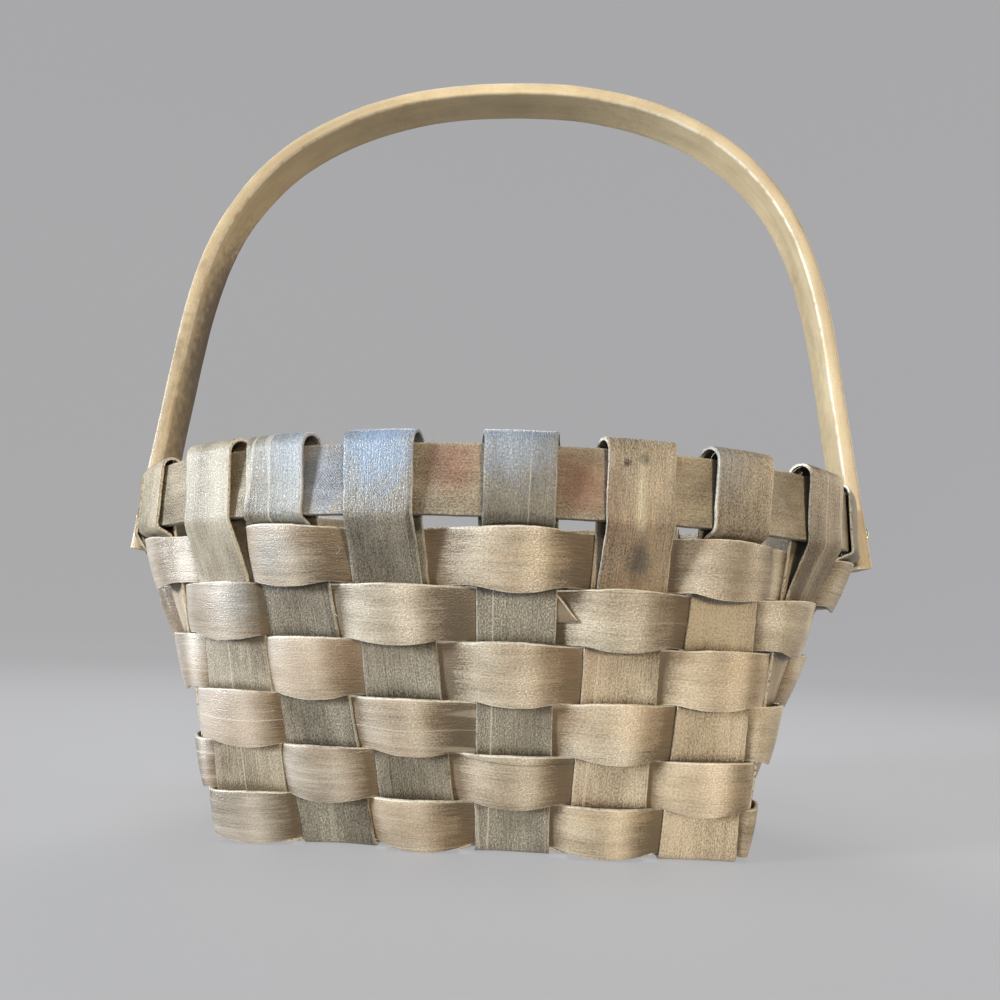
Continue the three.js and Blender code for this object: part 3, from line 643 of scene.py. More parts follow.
def rim_path(sizes):
    """The band round the oval, its two ends thinned and lapped at the back."""
    rows = []

    def add(degrees, inner, outer):
        point, along, _ = oval(degrees)
        place = point + turned(along) * ((inner + outer) / 2 - sizes.band_thickness)
        height = (RIM_LOW.z + RIM_HIGH.z) / 2
        rows.append(station((*place, height), (0, 0, 1), RIM_HIGH.z - RIM_LOW.z, outer - inner, HOOP_RUB))

    first = 180 - SCARF_DEGREES / 2
    tapered = sizes.band_thickness - FEATHER
    lap_share = (tapered - FEATHER - sizes.clearance) / tapered
    scarf_steps = int(SCARF_DEGREES / BAND_STEP_DEGREES)
    plain_steps = int((360 - SCARF_DEGREES) / BAND_STEP_DEGREES)
    for i in range(scarf_steps):
        add(first + SCARF_DEGREES * i / scarf_steps, 0, FEATHER + tapered * i / scarf_steps)
    for i in range(plain_steps):
        degrees = first + SCARF_DEGREES + (360 - SCARF_DEGREES) * i / plain_steps
        add(degrees, 0, sizes.band_thickness)
    for i in range(scarf_steps + 1):
        share = lap_share * i / scarf_steps
        inner = FEATHER + sizes.clearance + tapered * share
        add(first + 360 + SCARF_DEGREES * share, inner, sizes.band_thickness)
    return np.array(rows)


def handle_path(sizes):
    """The hoop's middle line from the right leg's end over the arch to the left leg's end."""
    top = HANDLE_HIGH.z
    outer_at_pivot = RIM_HIGH.x + sizes.side_gap + sizes.handle_thickness
    half = outer_at_pivot - LEG_LEAN * (top - PIVOT.z)
    rise = top - HANDLE_SPRING
    points = [(half, HANDLE_LOW.z), (half, mix(PIVOT.z, HANDLE_SPRING, 0.5))]
    for i in range(ARCH_STEPS // 2 + 1):
        angle = math.pi / 2 * i / (ARCH_STEPS // 2)
        x = half * math.cos(angle) ** (2 / ARCH_CROWN)
        points.append((x, HANDLE_SPRING + rise * math.sin(angle) ** (2 / ARCH_SHOULDER)))
    right = np.array([(x + LEG_LEAN * (top - z), z) for x, z in points[:-1]])
    left = right[::-1] * (-1, 1)
    outer = np.concatenate([right, [(0, top)], left])
    outer[:, 1] += ARCH_SET * np.maximum(outer[:, 1] - HANDLE_SPRING, 0) / rise * outer[:, 0] / half
    along = np.gradient(outer, axis=0)
    along /= np.linalg.norm(along, axis=1)[:, None]
    middle = outer + np.column_stack([-along[:, 1], along[:, 0]]) * sizes.handle_thickness / 2
    middle[[0, -1], 1] = outer[[0, -1], 1]
    width = HANDLE_HIGH.y - HANDLE_LOW.y
    rows = [station((x, 0, z), (0, -1, 0), width, sizes.handle_thickness, HANDLE_RUB) for x, z in middle]
    return eased(rows, np.array(rows)[:, MIDDLE], ARCH_STEP, ARCH_EASE)


# Node trees
NODE_SPACING = 180
NODES_IN_A_ROW = 10
DEFAULT_KINDS = {float: "Float", int: "Int", tuple: "Color"}


class Graph:
    """Adds nodes to a node tree. Each input gets a value, or the output of another node."""

    def __init__(self, tree):
        self.tree = tree

    @staticmethod
    def socket(sockets, name=None):
        """The enabled socket of that name, or the first enabled one."""
        return next(socket for socket in sockets if socket.enabled and name in (None, socket.name))

    def feed(self, socket, value):
        """Links a node or an output to the socket, or sets its value."""
        if isinstance(value, bpy.types.Node):
            value = self.socket(value.outputs)
        if isinstance(value, bpy.types.NodeSocket):
            self.tree.links.new(value, socket)
        else:
            socket.default_value = value

    def add(self, kind, inputs=None, **settings):
        """A new node with its settings, and its inputs fed by name."""
        node = self.tree.nodes.new(kind)
        row, column = divmod(len(self.tree.nodes), NODES_IN_A_ROW)
        node.location = (NODE_SPACING * column, -NODE_SPACING * row)
        for name, value in settings.items():
            setattr(node, name, value)
        for name, value in (inputs or {}).items():
            self.feed(self.socket(node.inputs, name), value)
        return node

    def maths(self, operation, *values, clamp=False):
        node = self.add("ShaderNodeMath", operation=operation, use_clamp=clamp)
        for socket, value in zip(node.inputs, values):
            self.feed(socket, value)
        return node

    def in_turn(self, operation, values):
        """The first value with the operation done to it with each of the others in turn."""
        result = values[0]
        for value in values[1:]:
            result = self.maths(operation, result, value)
        return result

    def plus(self, *values):
        return self.in_turn("ADD", values)

    def times(self, *values):
        return self.in_turn("MULTIPLY", values)

    def minus(self, first, second, clamp=False):
        return self.maths("SUBTRACT", first, second, clamp=clamp)

    def size_of(self, value):
        return self.maths("ABSOLUTE", value)

    def centred(self, value, amount):
        """A value from 0 to 1 turned into a change to both sides, this large in all."""
        return self.times(self.minus(value, 0.5), amount)

    def vector(self, operation, *values):
        node = self.add("ShaderNodeVectorMath", operation=operation)
        for socket, value in zip([s for s in node.inputs if s.enabled], values):
            self.feed(socket, value)
        return node

    def join(self, x=0.0, y=0.0, z=0.0):
        return self.add("ShaderNodeCombineXYZ", {"X": x, "Y": y, "Z": z})

    def split(self, vector):
        return self.add("ShaderNodeSeparateXYZ", {"Vector": vector}).outputs

    def noise(self, place, detail=2.0, roughness=0.5, distortion=0.0):
        inputs = {"Vector": place, "Scale": 1.0, "Detail": detail, "Roughness": roughness}
        return self.add("ShaderNodeTexNoise", {**inputs, "Distortion": distortion})

    def between(self, value, low, high, kind="SMOOTHSTEP"):
        """0 up to low, 1 from high, and a smooth step from one to the other."""
        inputs = {"Value": value, "From Min": low, "From Max": high}
        return self.add("ShaderNodeMapRange", inputs, interpolation_type=kind)

    def blend(self, factor, first, second, kind="MIX"):
        """The first colour, blended with the second one by a factor."""
        inputs = {"Factor": factor, "A": first, "B": second}
        return self.add("ShaderNodeMix", inputs, data_type="RGBA", blend_type=kind)


def new_tree(name, kind, inputs, outputs):
    """An empty node group: its graph, what it is given and what it puts out.

    An input is written as its default, or as the kind of its socket where it has none."""
    tree = bpy.data.node_groups.new(name, kind)
    for label, value in inputs.items():
        socket_kind = value if isinstance(value, str) else DEFAULT_KINDS[type(value)]
        socket = tree.interface.new_socket(
            label, in_out="INPUT", socket_type=f"NodeSocket{socket_kind}"
        )
        if value != socket_kind:
            socket.default_value = value
    for label, socket_kind in outputs.items():
        tree.interface.new_socket(label, in_out="OUTPUT", socket_type=f"NodeSocket{socket_kind}")
    graph = Graph(tree)
    return graph, graph.add("NodeGroupInput").outputs, graph.add("NodeGroupOutput").inputs


# How a strip wanders. A frequency is in waves per metre along the strip, or per half width across it
SEED_STEP = 7.31
RIPPLE_ASPECT = 0.6
RIPPLE_SCALE = 2.0
CUP_POWER = 2.0
NICK_FREQUENCY = 150.0
NICK_DETAIL = 4.0
NICK_ROUGHNESS = 0.7
NICK_SCALE = 2.0
WANDER_FREQUENCY = 28.0
WANDER_FREQUENCY_ACROSS = 3.0
WANDER_SCALE = 3.0
EDGE_POWER = 6.0
MERGE_DISTANCE = 0.000002
SHARP_ANGLE = 0.7


def strip_tree():
    """A strip of wood along a path: the section follows the path, and its edges and faces wander."""
    graph, given, ending = new_tree(
        "Wood strip",
        "GeometryNodeTree",
        {
            "Path": "Geometry",
            "Section": "Object",
            "Edge Radius": 0.0003,
            "Cup": 0.0,
            "Ripple": 0.0002,
            "Ripple Length": 0.03,
            "Nick": 0.0002,
            "Wander": 0.0,
            "Seed": 0.0,
            "Material": "Material",
        },
        {"Strip": "Geometry"},
    )

    def named(name, kind="FLOAT"):
        return graph.add("GeometryNodeInputNamedAttribute", {"Name": name}, data_type=kind)

    def stray(place, reach, scale, detail, roughness=0.5):
        """A noise that reaches this far to both sides, times a scale."""
        return graph.centred(graph.noise(place, detail, roughness), graph.times(reach, scale))

    curve = graph.add("GeometryNodeMeshToCurve", {"Mesh": given["Path"]})
    section = graph.add("GeometryNodeObjectInfo", {"Object": given["Section"]})
    outline = graph.add("GeometryNodeMeshToCurve", {"Mesh": section.outputs["Geometry"]})
    inputs = {"Curve": curve, "Profile Curve": outline, "Fill Caps": True}
    body = graph.add("GeometryNodeCurveToMesh", inputs)
    flat = graph.split(named("flat", "FLOAT_VECTOR"))
    rounding = graph.split(named("round", "FLOAT_VECTOR"))
    unrolled = graph.split(named("unrolled", "FLOAT_VECTOR"))
    run = named("run")
    radius = given["Edge Radius"]
    half_width = graph.times(named("width"), 0.5)
    half_thick = graph.times(named("thick"), 0.5)
    across = graph.plus(
        graph.times(flat["X"], graph.minus(half_width, radius)), graph.times(rounding["X"], radius)
    )
    through = graph.plus(
        graph.times(flat["Y"], graph.minus(half_thick, radius)), graph.times(rounding["Y"], radius)
    )
    round_it = graph.plus(
        graph.times(unrolled["X"], half_width), graph.times(unrolled["Y"], half_thick)
    )
    seed = graph.times(given["Seed"], SEED_STEP)
    # The faces rise and fall, and are cupped
    along = graph.maths("DIVIDE", run, given["Ripple Length"])
    sideways = graph.maths("DIVIDE", across, graph.times(given["Ripple Length"], RIPPLE_ASPECT))
    ripple_place = graph.join(graph.plus(along, seed), sideways, seed)
    ripple = stray(ripple_place, given["Ripple"], RIPPLE_SCALE, 2.0)
    crown = graph.minus(1.0, graph.maths("POWER", graph.size_of(flat["X"]), CUP_POWER))
    lift = graph.plus(through, graph.plus(ripple, graph.times(crown, given["Cup"])))
    # The edges are ragged, and the width changes
    nick_place = graph.join(graph.plus(graph.times(run, NICK_FREQUENCY), seed), flat["X"], seed)
    nick = stray(nick_place, given["Nick"], NICK_SCALE, NICK_DETAIL, NICK_ROUGHNESS)
    wander_place = graph.join(
        graph.times(run, WANDER_FREQUENCY), graph.times(flat["X"], WANDER_FREQUENCY_ACROSS), seed
    )
    wander = stray(wander_place, given["Wander"], WANDER_SCALE, 1.0)
    at_edge = graph.maths("POWER", graph.size_of(flat["X"]), EDGE_POWER)
    spread = graph.plus(across, graph.times(graph.plus(nick, wander), at_edge))
    place = graph.vector("SCALE", named("across", "FLOAT_VECTOR"), spread)
    rise = graph.vector("SCALE", named("face", "FLOAT_VECTOR"), lift)
    place = graph.vector("ADD", graph.vector("ADD", named("middle", "FLOAT_VECTOR"), place), rise)
    shaped = graph.add("GeometryNodeSetPosition", {"Geometry": body, "Position": place})
    kept = {
        "grain": (graph.join(run, round_it, 0.0), "FLOAT2", "CORNER"),
        "edge": (graph.size_of(rounding["X"]), "FLOAT", "POINT"),
        "side": (flat["X"], "FLOAT", "POINT"),
        "back": (graph.maths("MULTIPLY", flat["Y"], -1.0, clamp=True), "FLOAT", "POINT"),
    }
    for label, (value, kind, domain) in kept.items():
        inputs = {"Geometry": shaped, "Name": label, "Value": value}
        shaped = graph.add("GeometryNodeStoreNamedAttribute", inputs, data_type=kind, domain=domain)
    shaped = graph.add("GeometryNodeMergeByDistance", {"Geometry": shaped, "Distance": MERGE_DISTANCE})
    shaped = graph.add("GeometryNodeSetShadeSmooth", {"Geometry": shaped, "Shade Smooth": True})
    bend = graph.socket(graph.add("GeometryNodeInputMeshEdgeAngle").outputs, "Unsigned Angle")
    inputs = {"A": bend, "B": SHARP_ANGLE}
    sharp = graph.add("FunctionNodeCompare", inputs, data_type="FLOAT", operation="GREATER_THAN")
    inputs = {"Geometry": shaped, "Selection": sharp, "Shade Smooth": False}
    shaped = graph.add("GeometryNodeSetShadeSmooth", inputs, domain="EDGE")
    shaped = graph.add("GeometryNodeRealizeInstances", {"Geometry": shaped})
    shaped = graph.add("GeometryNodeSetMaterial", {"Geometry": shaped, "Material": given["Material"]})
    graph.feed(ending["Strip"], shaped)
    return graph.tree


# The patches in which fibres grow: their frequency in waves per metre and how soft their border is
PATCH_FREQUENCY = 45.0
PATCH_BORDER = 0.04


def fibre_tree():
    """Loose fibres on the cut edges of the strips in a collection, in patches."""
    graph, given, ending = new_tree(
        "Loose fibres",
        "GeometryNodeTree",
        {
            "Geometry": "Geometry",
            "Strips": "Collection",
            "Fibre": "Object",
            "Density": 3000.0,
            "Shortest": 0.0015,
            "Longest": 0.006,
            "Stoutness": 1.0,
            "Lie": 0.8,
            "Least Edge": 0.6,
            "Half Reach": 0.13,
            "Lowest": 0.004,
            "Patchiness": 0.5,
            "Seed": 0,
            "Material": "Material",
        },
        {"Fibres": "Geometry"},
    )
    strips = graph.add("GeometryNodeCollectionInfo", {"Collection": given["Strips"]})
    strips = graph.add("GeometryNodeRealizeInstances", {"Geometry": strips})
    edge = graph.add("GeometryNodeInputNamedAttribute", {"Name": "edge"}, data_type="FLOAT")
    place = graph.add("GeometryNodeInputPosition")
    parts = graph.split(place)
    inside = graph.maths("LESS_THAN", graph.size_of(parts["X"]), given["Half Reach"])
    above = graph.maths("GREATER_THAN", parts["Z"], given["Lowest"])
    patches = graph.noise(graph.vector("SCALE", place, PATCH_FREQUENCY), 1.0)
    patches = graph.between(patches, graph.minus(given["Patchiness"], PATCH_BORDER), given["Patchiness"])
    wanted = graph.times(graph.maths("GREATER_THAN", edge, given["Least Edge"]), patches)
    wanted = graph.times(wanted, graph.times(inside, above), given["Density"])
    inputs = {"Mesh": strips, "Density": wanted, "Seed": given["Seed"]}
    points = graph.add("GeometryNodeDistributePointsOnFaces", inputs)
    inputs = {"Min": (-1, -1, -1), "Max": (1, 1, 1), "Seed": given["Seed"]}
    stray = graph.add("FunctionNodeRandomValue", inputs, data_type="FLOAT_VECTOR")
    aim = graph.vector("ADD", points.outputs["Normal"], graph.vector("SCALE", stray, given["Lie"]))
    turn = graph.add("FunctionNodeAlignRotationToVector", {"Vector": aim}, axis="Z")
    inputs = {"Min": given["Shortest"], "Max": given["Longest"], "Seed": given["Seed"]}
    length = graph.add("FunctionNodeRandomValue", inputs, data_type="FLOAT")
    girth = graph.times(length, given["Stoutness"])
    fibre = graph.add("GeometryNodeObjectInfo", {"Object": given["Fibre"]})
    fibres = graph.add(
        "GeometryNodeInstanceOnPoints",
        {
            "Points": points.outputs["Points"],
            "Instance": fibre.outputs["Geometry"],
            "Rotation": turn,
            "Scale": graph.join(girth, girth, length),
        },
    )
    fibres = graph.add("GeometryNodeRealizeInstances", {"Geometry": fibres})
    fibres = graph.add("GeometryNodeSetMaterial", {"Geometry": fibres, "Material": given["Material"]})
    graph.feed(ending["Fibres"], fibres)
    return graph.tree


# Meshes
def link(name, mesh):
    """An object of the mesh in the scene."""
    piece = bpy.data.objects.new(name, mesh)
    bpy.context.scene.collection.objects.link(piece)
    return piece


def link_shape(name, shape):
    """The same for a shape that is still being edited."""
    mesh = bpy.data.meshes.new(name)
    shape.to_mesh(mesh)
    shape.free()
    return link(name, mesh)


def lathe(points, axis, steps, merge_distance):
    """A smooth shape that a row of points makes when it is turned round an axis through the origin."""
    shape = bmesh.new()
    line = [shape.verts.new(point) for point in points]
    for first, second in zip(line, line[1:]):
        shape.edges.new((first, second))
    bmesh.ops.spin(
        shape,
        geom=shape.verts[:] + shape.edges[:],
        cent=(0, 0, 0),
        axis=axis,
        angle=math.tau,
        steps=steps,
        use_merge=True,
    )
    bmesh.ops.remove_doubles(shape, verts=shape.verts, dist=merge_distance)
    for face in shape.faces:
        face.smooth = True
    return shape


def line_mesh(name, points, closed, attributes):
    """A mesh of points joined in a row, with named attributes on the points."""
    count = len(points)
    edges = [(i, (i + 1) % count) for i in range(count if closed else count - 1)]
    mesh = bpy.data.meshes.new(name)
    mesh.from_pydata([tuple(point) for point in points], edges, [])
    for label, values in attributes.items():
        values = np.asarray(values, np.float32)
        kind, key = ("FLOAT_VECTOR", "vector") if values.ndim == 2 else ("FLOAT", "value")
        mesh.attributes.new(label, kind, "POINT").data.foreach_set(key, values.ravel())
    return mesh


def section_object(steps_across, steps_round):
    """A strip's outline, with three values on each of its points.

    flat is the point's place on the faces, and round its place on the rounded edge. unrolled is how many
    half widths and half thicknesses it lies along the outline."""
    flat = []
    rounding = []
    unrolled = []
    for side, first in ((1, 90), (-1, 270)):
        passed = side - 1
        for i in range(steps_across):
            across = 1 - 2 * i / steps_across
            flat.append((side * across, side, 0))
            rounding.append((0, side, 0))
            unrolled.append((across + passed, passed, 0))
        for quarter, through in ((0, side), (1, -side)):
            for i in range(steps_round + quarter):
                angle = math.radians(first + 90 * (quarter + i / steps_round))
                flat.append((-side, through, 0))
                rounding.append((math.cos(angle), math.sin(angle), 0))
                unrolled.append((passed - 1, passed - 2 * quarter, 0))
    points = np.array(flat) + np.array(rounding)
    attributes = {"flat": flat, "round": rounding, "unrolled": unrolled}
    return link("section", line_mesh("section", points, True, attributes))


def plain_mesh(piece):
    """Turns a piece's modifiers into its mesh."""
    graph = bpy.context.evaluated_depsgraph_get()
    mesh = bpy.data.meshes.new_from_object(piece.evaluated_get(graph))
    piece.modifiers.clear()
    piece.data = mesh
    return piece


def add_tree(piece, tree, values):
    """Puts a geometry tree on a piece, with its inputs set by name, and bakes it."""
    modifier = piece.modifiers.new(tree.name, "NODES")
    modifier.node_group = tree
    items = tree.interface.items_tree
    identifiers = {item.name: item.identifier for item in items if item.in_out == "INPUT"}
    for label, value in values.items():
        modifier[identifiers[label]] = value
    return plain_mesh(piece)


BUILDING_ATTRIBUTES = ("middle", "across", "face", "flat", "round", "unrolled", "width", "thick", "run")


def path_attributes(rows):
    """The attributes of a path that the strip tree reads."""
    middle = rows[:, MIDDLE]
    along = np.gradient(middle, axis=0)
    across = rows[:, ACROSS] / np.linalg.norm(rows[:, ACROSS], axis=1)[:, None]
    face = np.cross(along, across)
    face /= np.linalg.norm(face, axis=1)[:, None]
    run = np.concatenate(([0], np.cumsum(np.linalg.norm(np.diff(middle, axis=0), axis=1))))
    return {
        "middle": middle,
        "across": across,
        "face": face,
        "run": run,
        "width": rows[:, WIDTH],
        "thick": rows[:, THICK],
        "rub": rows[:, RUB],
        "cover": rows[:, COVER],
    }


def make_strip(name, rows, seed, material, section, **values):
    """A strip of wood along a path of stations, with values for the strip tree's other inputs."""
    wear = bpy.context.scene.basket_wear
    piece = link(name, line_mesh(name, rows[:, MIDDLE], False, path_attributes(rows)))
    inputs = {
        "Section": section,
        "Seed": float(seed),
        "Material": material,
        "Nick": wear.nick,
        "Wander": wear.wander,
        "Ripple": wear.ripple,
    }
    inputs.update({label.replace("_", " ").title(): value for label, value in values.items()})
    add_tree(piece, kit("Wood strip", strip_tree), inputs)
    for label in BUILDING_ATTRIBUTES:
        attribute = piece.data.attributes.get(label)
        if attribute:
            piece.data.attributes.remove(attribute)
    return piece


def kit(name, make):
    """A node group that is made once and then found by its name."""
    return bpy.data.node_groups.get(name) or make()


def hand_over(piece, body, slot, *nodes):
    """Joins a finished piece to its body, in place of the frame's own nodes."""
    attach(piece, body)
    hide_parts(*nodes)


# Materials
@dataclass
class Grain:
    """A pattern of the wood: how often it changes along and across the strip, in waves per metre, how
    fine, rough and bent it is, and the values between which it goes from 0 to 1."""

    along: float
    across: float
    detail: float = 2.0
    roughness: float = 0.5
    distortion: float = 0.0
    span: tuple = None


# Short fibres, growth lines, broad changes of the stain, then where the wood is warm, has painted glints,
# has pale growth lines or cracks, and how its cut sides and arrises are worn
GRAINS = {
    "speck": Grain(1200.0, 1700.0, detail=1.0, roughness=0.6, span=(0.32, 0.68)),
    "fibre": Grain(110.0, 2600.0, roughness=0.6, span=(0.3, 0.7)),
    "streak": Grain(22.0, 650.0, distortion=0.1),
    "band": Grain(6.0, 140.0, distortion=0.3),
    "cloud": Grain(50.0, 80.0, detail=3.0, roughness=0.55),
    "broad": Grain(13.0, 34.0, detail=1.0),
    "warm": Grain(20.0, 34.0),
    "glint": Grain(1500.0, 1900.0, detail=1.0, span=(0.51, 0.62)),
    "growth": Grain(2.0, 70.0, detail=1.0, distortion=0.1),
    "growth_place": Grain(3.0, 50.0, detail=1.0, span=(0.5, 0.62)),
    "crack": Grain(4.0, 120.0, detail=1.0, distortion=0.15),
    "crack_place": Grain(9.0, 45.0, detail=1.0),
    "bite": Grain(260.0, 90.0, detail=3.0),
    "ends": Grain(900.0, 1500.0, span=(0.28, 0.5)),
    "arris": Grain(300.0, 900.0),
}

# How much each thing changes the tone, from deep to pale: the stain's grain, the wear and painted light,
# and painted shade in the crevices where the strips pass under each other and on the covered backs
SPECK_TONE = 0.5
TONES = {"fibre": 0.2, "streak": 0.4, "band": 0.45, "cloud": 0.75, "broad": 0.7}
RUB_TONE = 0.9
COVERED_TONE = -0.8
CREVICE = (-0.25, 0.12)
CREVICE_LIGHT = 0.4

# How the finer marks come and go
SEED_SHIFT = (0.731, 0.197)
LINE_CORE = 0.3
WARM_FIBRE = 0.25
WARM_SPAN = (0.42, 0.66)
GLINT_CLOUD = 0.8
GLINT_BROAD = 0.5
GLINT_SPAN = (0.35, 0.95)
GLINT_SHARE = 0.85
GROWTH_WIDTH = 0.012
GROWTH_SHARE = 0.35
CRACK_WIDTH = 0.009
CRACK_SIDE = 0.16
CRACK_SPAN = (0.6, 0.72)
BITE = 0.5
CUT_SPAN = (0.6, 0.95)
ARRIS_STRAY = 0.05
ARRIS_SPAN = (0.97, 1.0)
ARRIS_EDGE_SPAN = (0.1, 0.5)
ARRIS_WORN_SPAN = (0.36, 0.56)
ARRIS_BELOW = 0.35
ARRIS_ABOVE = 0.65

# Roughness and relief
WOOD_ROUGHNESS = 0.4
ROUGHNESS_STRAY = 0.2
GLINT_ROUGHNESS = -0.12
HEIGHTS = {"speck": 0.5, "fibre": 0.35, "streak": 0.3}
CRACK_HEIGHT = -1.2
GLINT_FIGURE = 0.5


def wood_figure():
    """The look of stained, rubbed wood with its grain along the strip, with painted highlights, glints and
    shade.
    """
    graph, given, ending = new_tree(
        "Stained wood",
        "ShaderNodeTree",
        {
            "Place": "Vector",
            "Seed": 0.0,
            "Pale": (0.5, 0.4, 0.3, 1),
            "Deep": (0.2, 0.15, 0.1, 1),
            "Bare": (0.4, 0.25, 0.15, 1),
            "Edge Colour": (0.6, 0.5, 0.4, 1),
            "Crack Colour": (0.03, 0.02, 0.015, 1),
            "Rub": 0.5,
            "Edge": 0.0,
            "Side": 0.0,
            "Back": 0.0,
            "Cover": 0.0,
            "Tone": 0.5,
            "Back Tone": 0.5,
            "Warmth": 0.3,
            "Speckle": 1.0,
            "Glitter": 0.5,
            "Cracks": 0.5,
            "Edge Wear": 0.8,
            "Cut": 0.7,
        },
        {
            "Color": "Color",
            "Roughness": "Float",
            "Height": "Float",
            "Figure": "Float",
        },
    )
    shift = graph.join(*(graph.times(given["Seed"], share) for share in SEED_SHIFT))
    place = graph.vector("ADD", given["Place"], shift)
    grain = {}
    for name, kind in GRAINS.items():
        stretched = graph.vector("MULTIPLY", place, (kind.along, kind.across, 1.0))
        noise = graph.noise(stretched, kind.detail, kind.roughness, kind.distortion)
        grain[name] = graph.between(noise, *kind.span) if kind.span else noise

    def thin_line(noise, width):
        """1 on the lines where a noise passes its middle value, 0 beside them."""
        off = graph.size_of(graph.minus(noise, 0.5))
        return graph.minus(1.0, graph.between(off, width * LINE_CORE, width))

    # The tone: the stain and its grain, the wear and painted light, painted shade in the crevices and on
    # the covered backs
    inputs = {"Factor": given["Back"], "A": given["Tone"], "B": given["Back Tone"]}
    tone = graph.plus(
        graph.add("ShaderNodeMix", inputs),
        graph.times(graph.centred(grain["speck"], SPECK_TONE), given["Speckle"]),
        *(graph.centred(grain[name], share) for name, share in TONES.items()),
        graph.centred(given["Rub"], RUB_TONE),
        graph.times(graph.between(given["Rub"], *CREVICE), CREVICE_LIGHT),
        graph.times(graph.times(given["Back"], given["Cover"]), COVERED_TONE),
        -CREVICE_LIGHT,
    )
    tone = graph.between(tone, 0.0, 1.0, "LINEAR")
    colour_now = graph.blend(tone, given["Deep"], given["Pale"])
    warm = graph.plus(grain["warm"], graph.centred(grain["fibre"], WARM_FIBRE))
    warm = graph.times(graph.between(warm, *WARM_SPAN), given["Warmth"])
    colour_now = graph.blend(warm, colour_now, given["Bare"])
    # Painted glints: pale dots where the wear and painted light and the clouds are strongest
    cloud = graph.centred(grain["cloud"], GLINT_CLOUD)
    rubbed = graph.plus(given["Rub"], cloud, graph.centred(grain["broad"], GLINT_BROAD))
    glint = graph.times(grain["glint"], graph.between(rubbed, *GLINT_SPAN), given["Glitter"])
    shown = graph.times(glint, GLINT_SHARE)
    colour_now = graph.blend(shown, colour_now, given["Edge Colour"], "SCREEN")
    # A few growth lines stand out pale
    growth = graph.times(thin_line(grain["growth"], GROWTH_WIDTH), GROWTH_SHARE, grain["growth_place"])
    colour_now = graph.blend(growth, colour_now, given["Edge Colour"])
    # Cracks run along the grain, more of them near the edges
    side = graph.size_of(given["Side"])
    gate = graph.between(graph.plus(grain["crack_place"], graph.times(side, CRACK_SIDE)), *CRACK_SPAN)
    crack = graph.times(thin_line(grain["crack"], CRACK_WIDTH), gate, given["Cracks"])
    colour_now = graph.blend(crack, colour_now, given["Crack Colour"])
    # The cut sides show the pale ends of the fibres, and the arrises beside them are worn; the arris on
    # the upper side of the weavers is painted lighter than the lower one, a painted highlight on the top
    # edge
    bitten = graph.centred(grain["bite"], BITE)
    cut = graph.between(graph.plus(given["Edge"], bitten), *CUT_SPAN)
    ends = graph.blend(grain["ends"], given["Deep"], given["Edge Colour"])
    colour_now = graph.blend(graph.times(cut, given["Cut"]), colour_now, ends)
    arris = graph.plus(side, graph.centred(grain["arris"], ARRIS_STRAY))
    rounded = graph.between(given["Edge"], *ARRIS_EDGE_SPAN)
    arris = graph.maths("MAXIMUM", graph.between(arris, *ARRIS_SPAN), rounded)
    worn = graph.between(graph.plus(grain["cloud"], bitten), *ARRIS_WORN_SPAN)
    upper = graph.between(given["Side"], -1.0, 1.0, "LINEAR")
    upper = graph.plus(graph.times(upper, ARRIS_ABOVE), ARRIS_BELOW)
    arris = graph.times(graph.minus(arris, cut, clamp=True), worn, upper, given["Edge Wear"])
    graph.feed(ending["Color"], graph.blend(arris, colour_now, given["Edge Colour"]))
    rough = graph.plus(
        WOOD_ROUGHNESS,
        graph.centred(grain["speck"], ROUGHNESS_STRAY),
        graph.centred(grain["cloud"], ROUGHNESS_STRAY),
        graph.times(glint, GLINT_ROUGHNESS),
    )
    graph.feed(ending["Roughness"], rough)
    heights = [graph.times(grain[name], share) for name, share in HEIGHTS.items()]
    graph.feed(ending["Height"], graph.plus(*heights, graph.times(crack, CRACK_HEIGHT)))
    graph.feed(ending["Figure"], graph.plus(tone, graph.times(glint, GLINT_FIGURE)))
    return graph.tree


# A spot's ragged border, and how much of the wood's figure shows in it
SPOT_FREQUENCY = 260.0
SPOT_DETAIL = 4.0
SPOT_ROUGHNESS = 0.6
SPOT_RAGGED = 0.9
SPOT_BORDER = (0.15, 1.1)
SPOT_FIGURE = 0.9
SPOT_SHADE = 0.5


def stain_spot():
    """A spot of colour with a soft border, round a point of the piece: a local stain or knot, and also
    painted sheen, light and shade.
    """
    graph, given, ending = new_tree(
        "Stain spot",
        "ShaderNodeTree",
        {
            "Color": (0.5, 0.4, 0.3, 1),
            "Figure": 0.5,
            "Place": "Vector",
            "Centre": "Vector",
            "Size": "Vector",
            "Tint": (0.1, 0.08, 0.06, 1),
            "Strength": 0.5,
        },
        {"Color": "Color"},
    )
    from_centre = graph.vector("SUBTRACT", given["Place"], given["Centre"])
    from_centre = graph.vector("DIVIDE", from_centre, given["Size"])
    ragged = graph.vector("SCALE", given["Place"], SPOT_FREQUENCY)
    ragged = graph.noise(ragged, SPOT_DETAIL, SPOT_ROUGHNESS)
    distance = graph.vector("LENGTH", from_centre).outputs["Value"]
    distance = graph.plus(distance, graph.centred(ragged, SPOT_RAGGED))
    share = graph.times(graph.minus(1.0, graph.between(distance, *SPOT_BORDER)), given["Strength"])
    shade = graph.plus(graph.times(given["Figure"], SPOT_FIGURE), SPOT_SHADE)
    tint = graph.vector("SCALE", given["Tint"], shade)
    graph.feed(ending["Color"], graph.blend(share, given["Color"], tint))
    return graph.tree


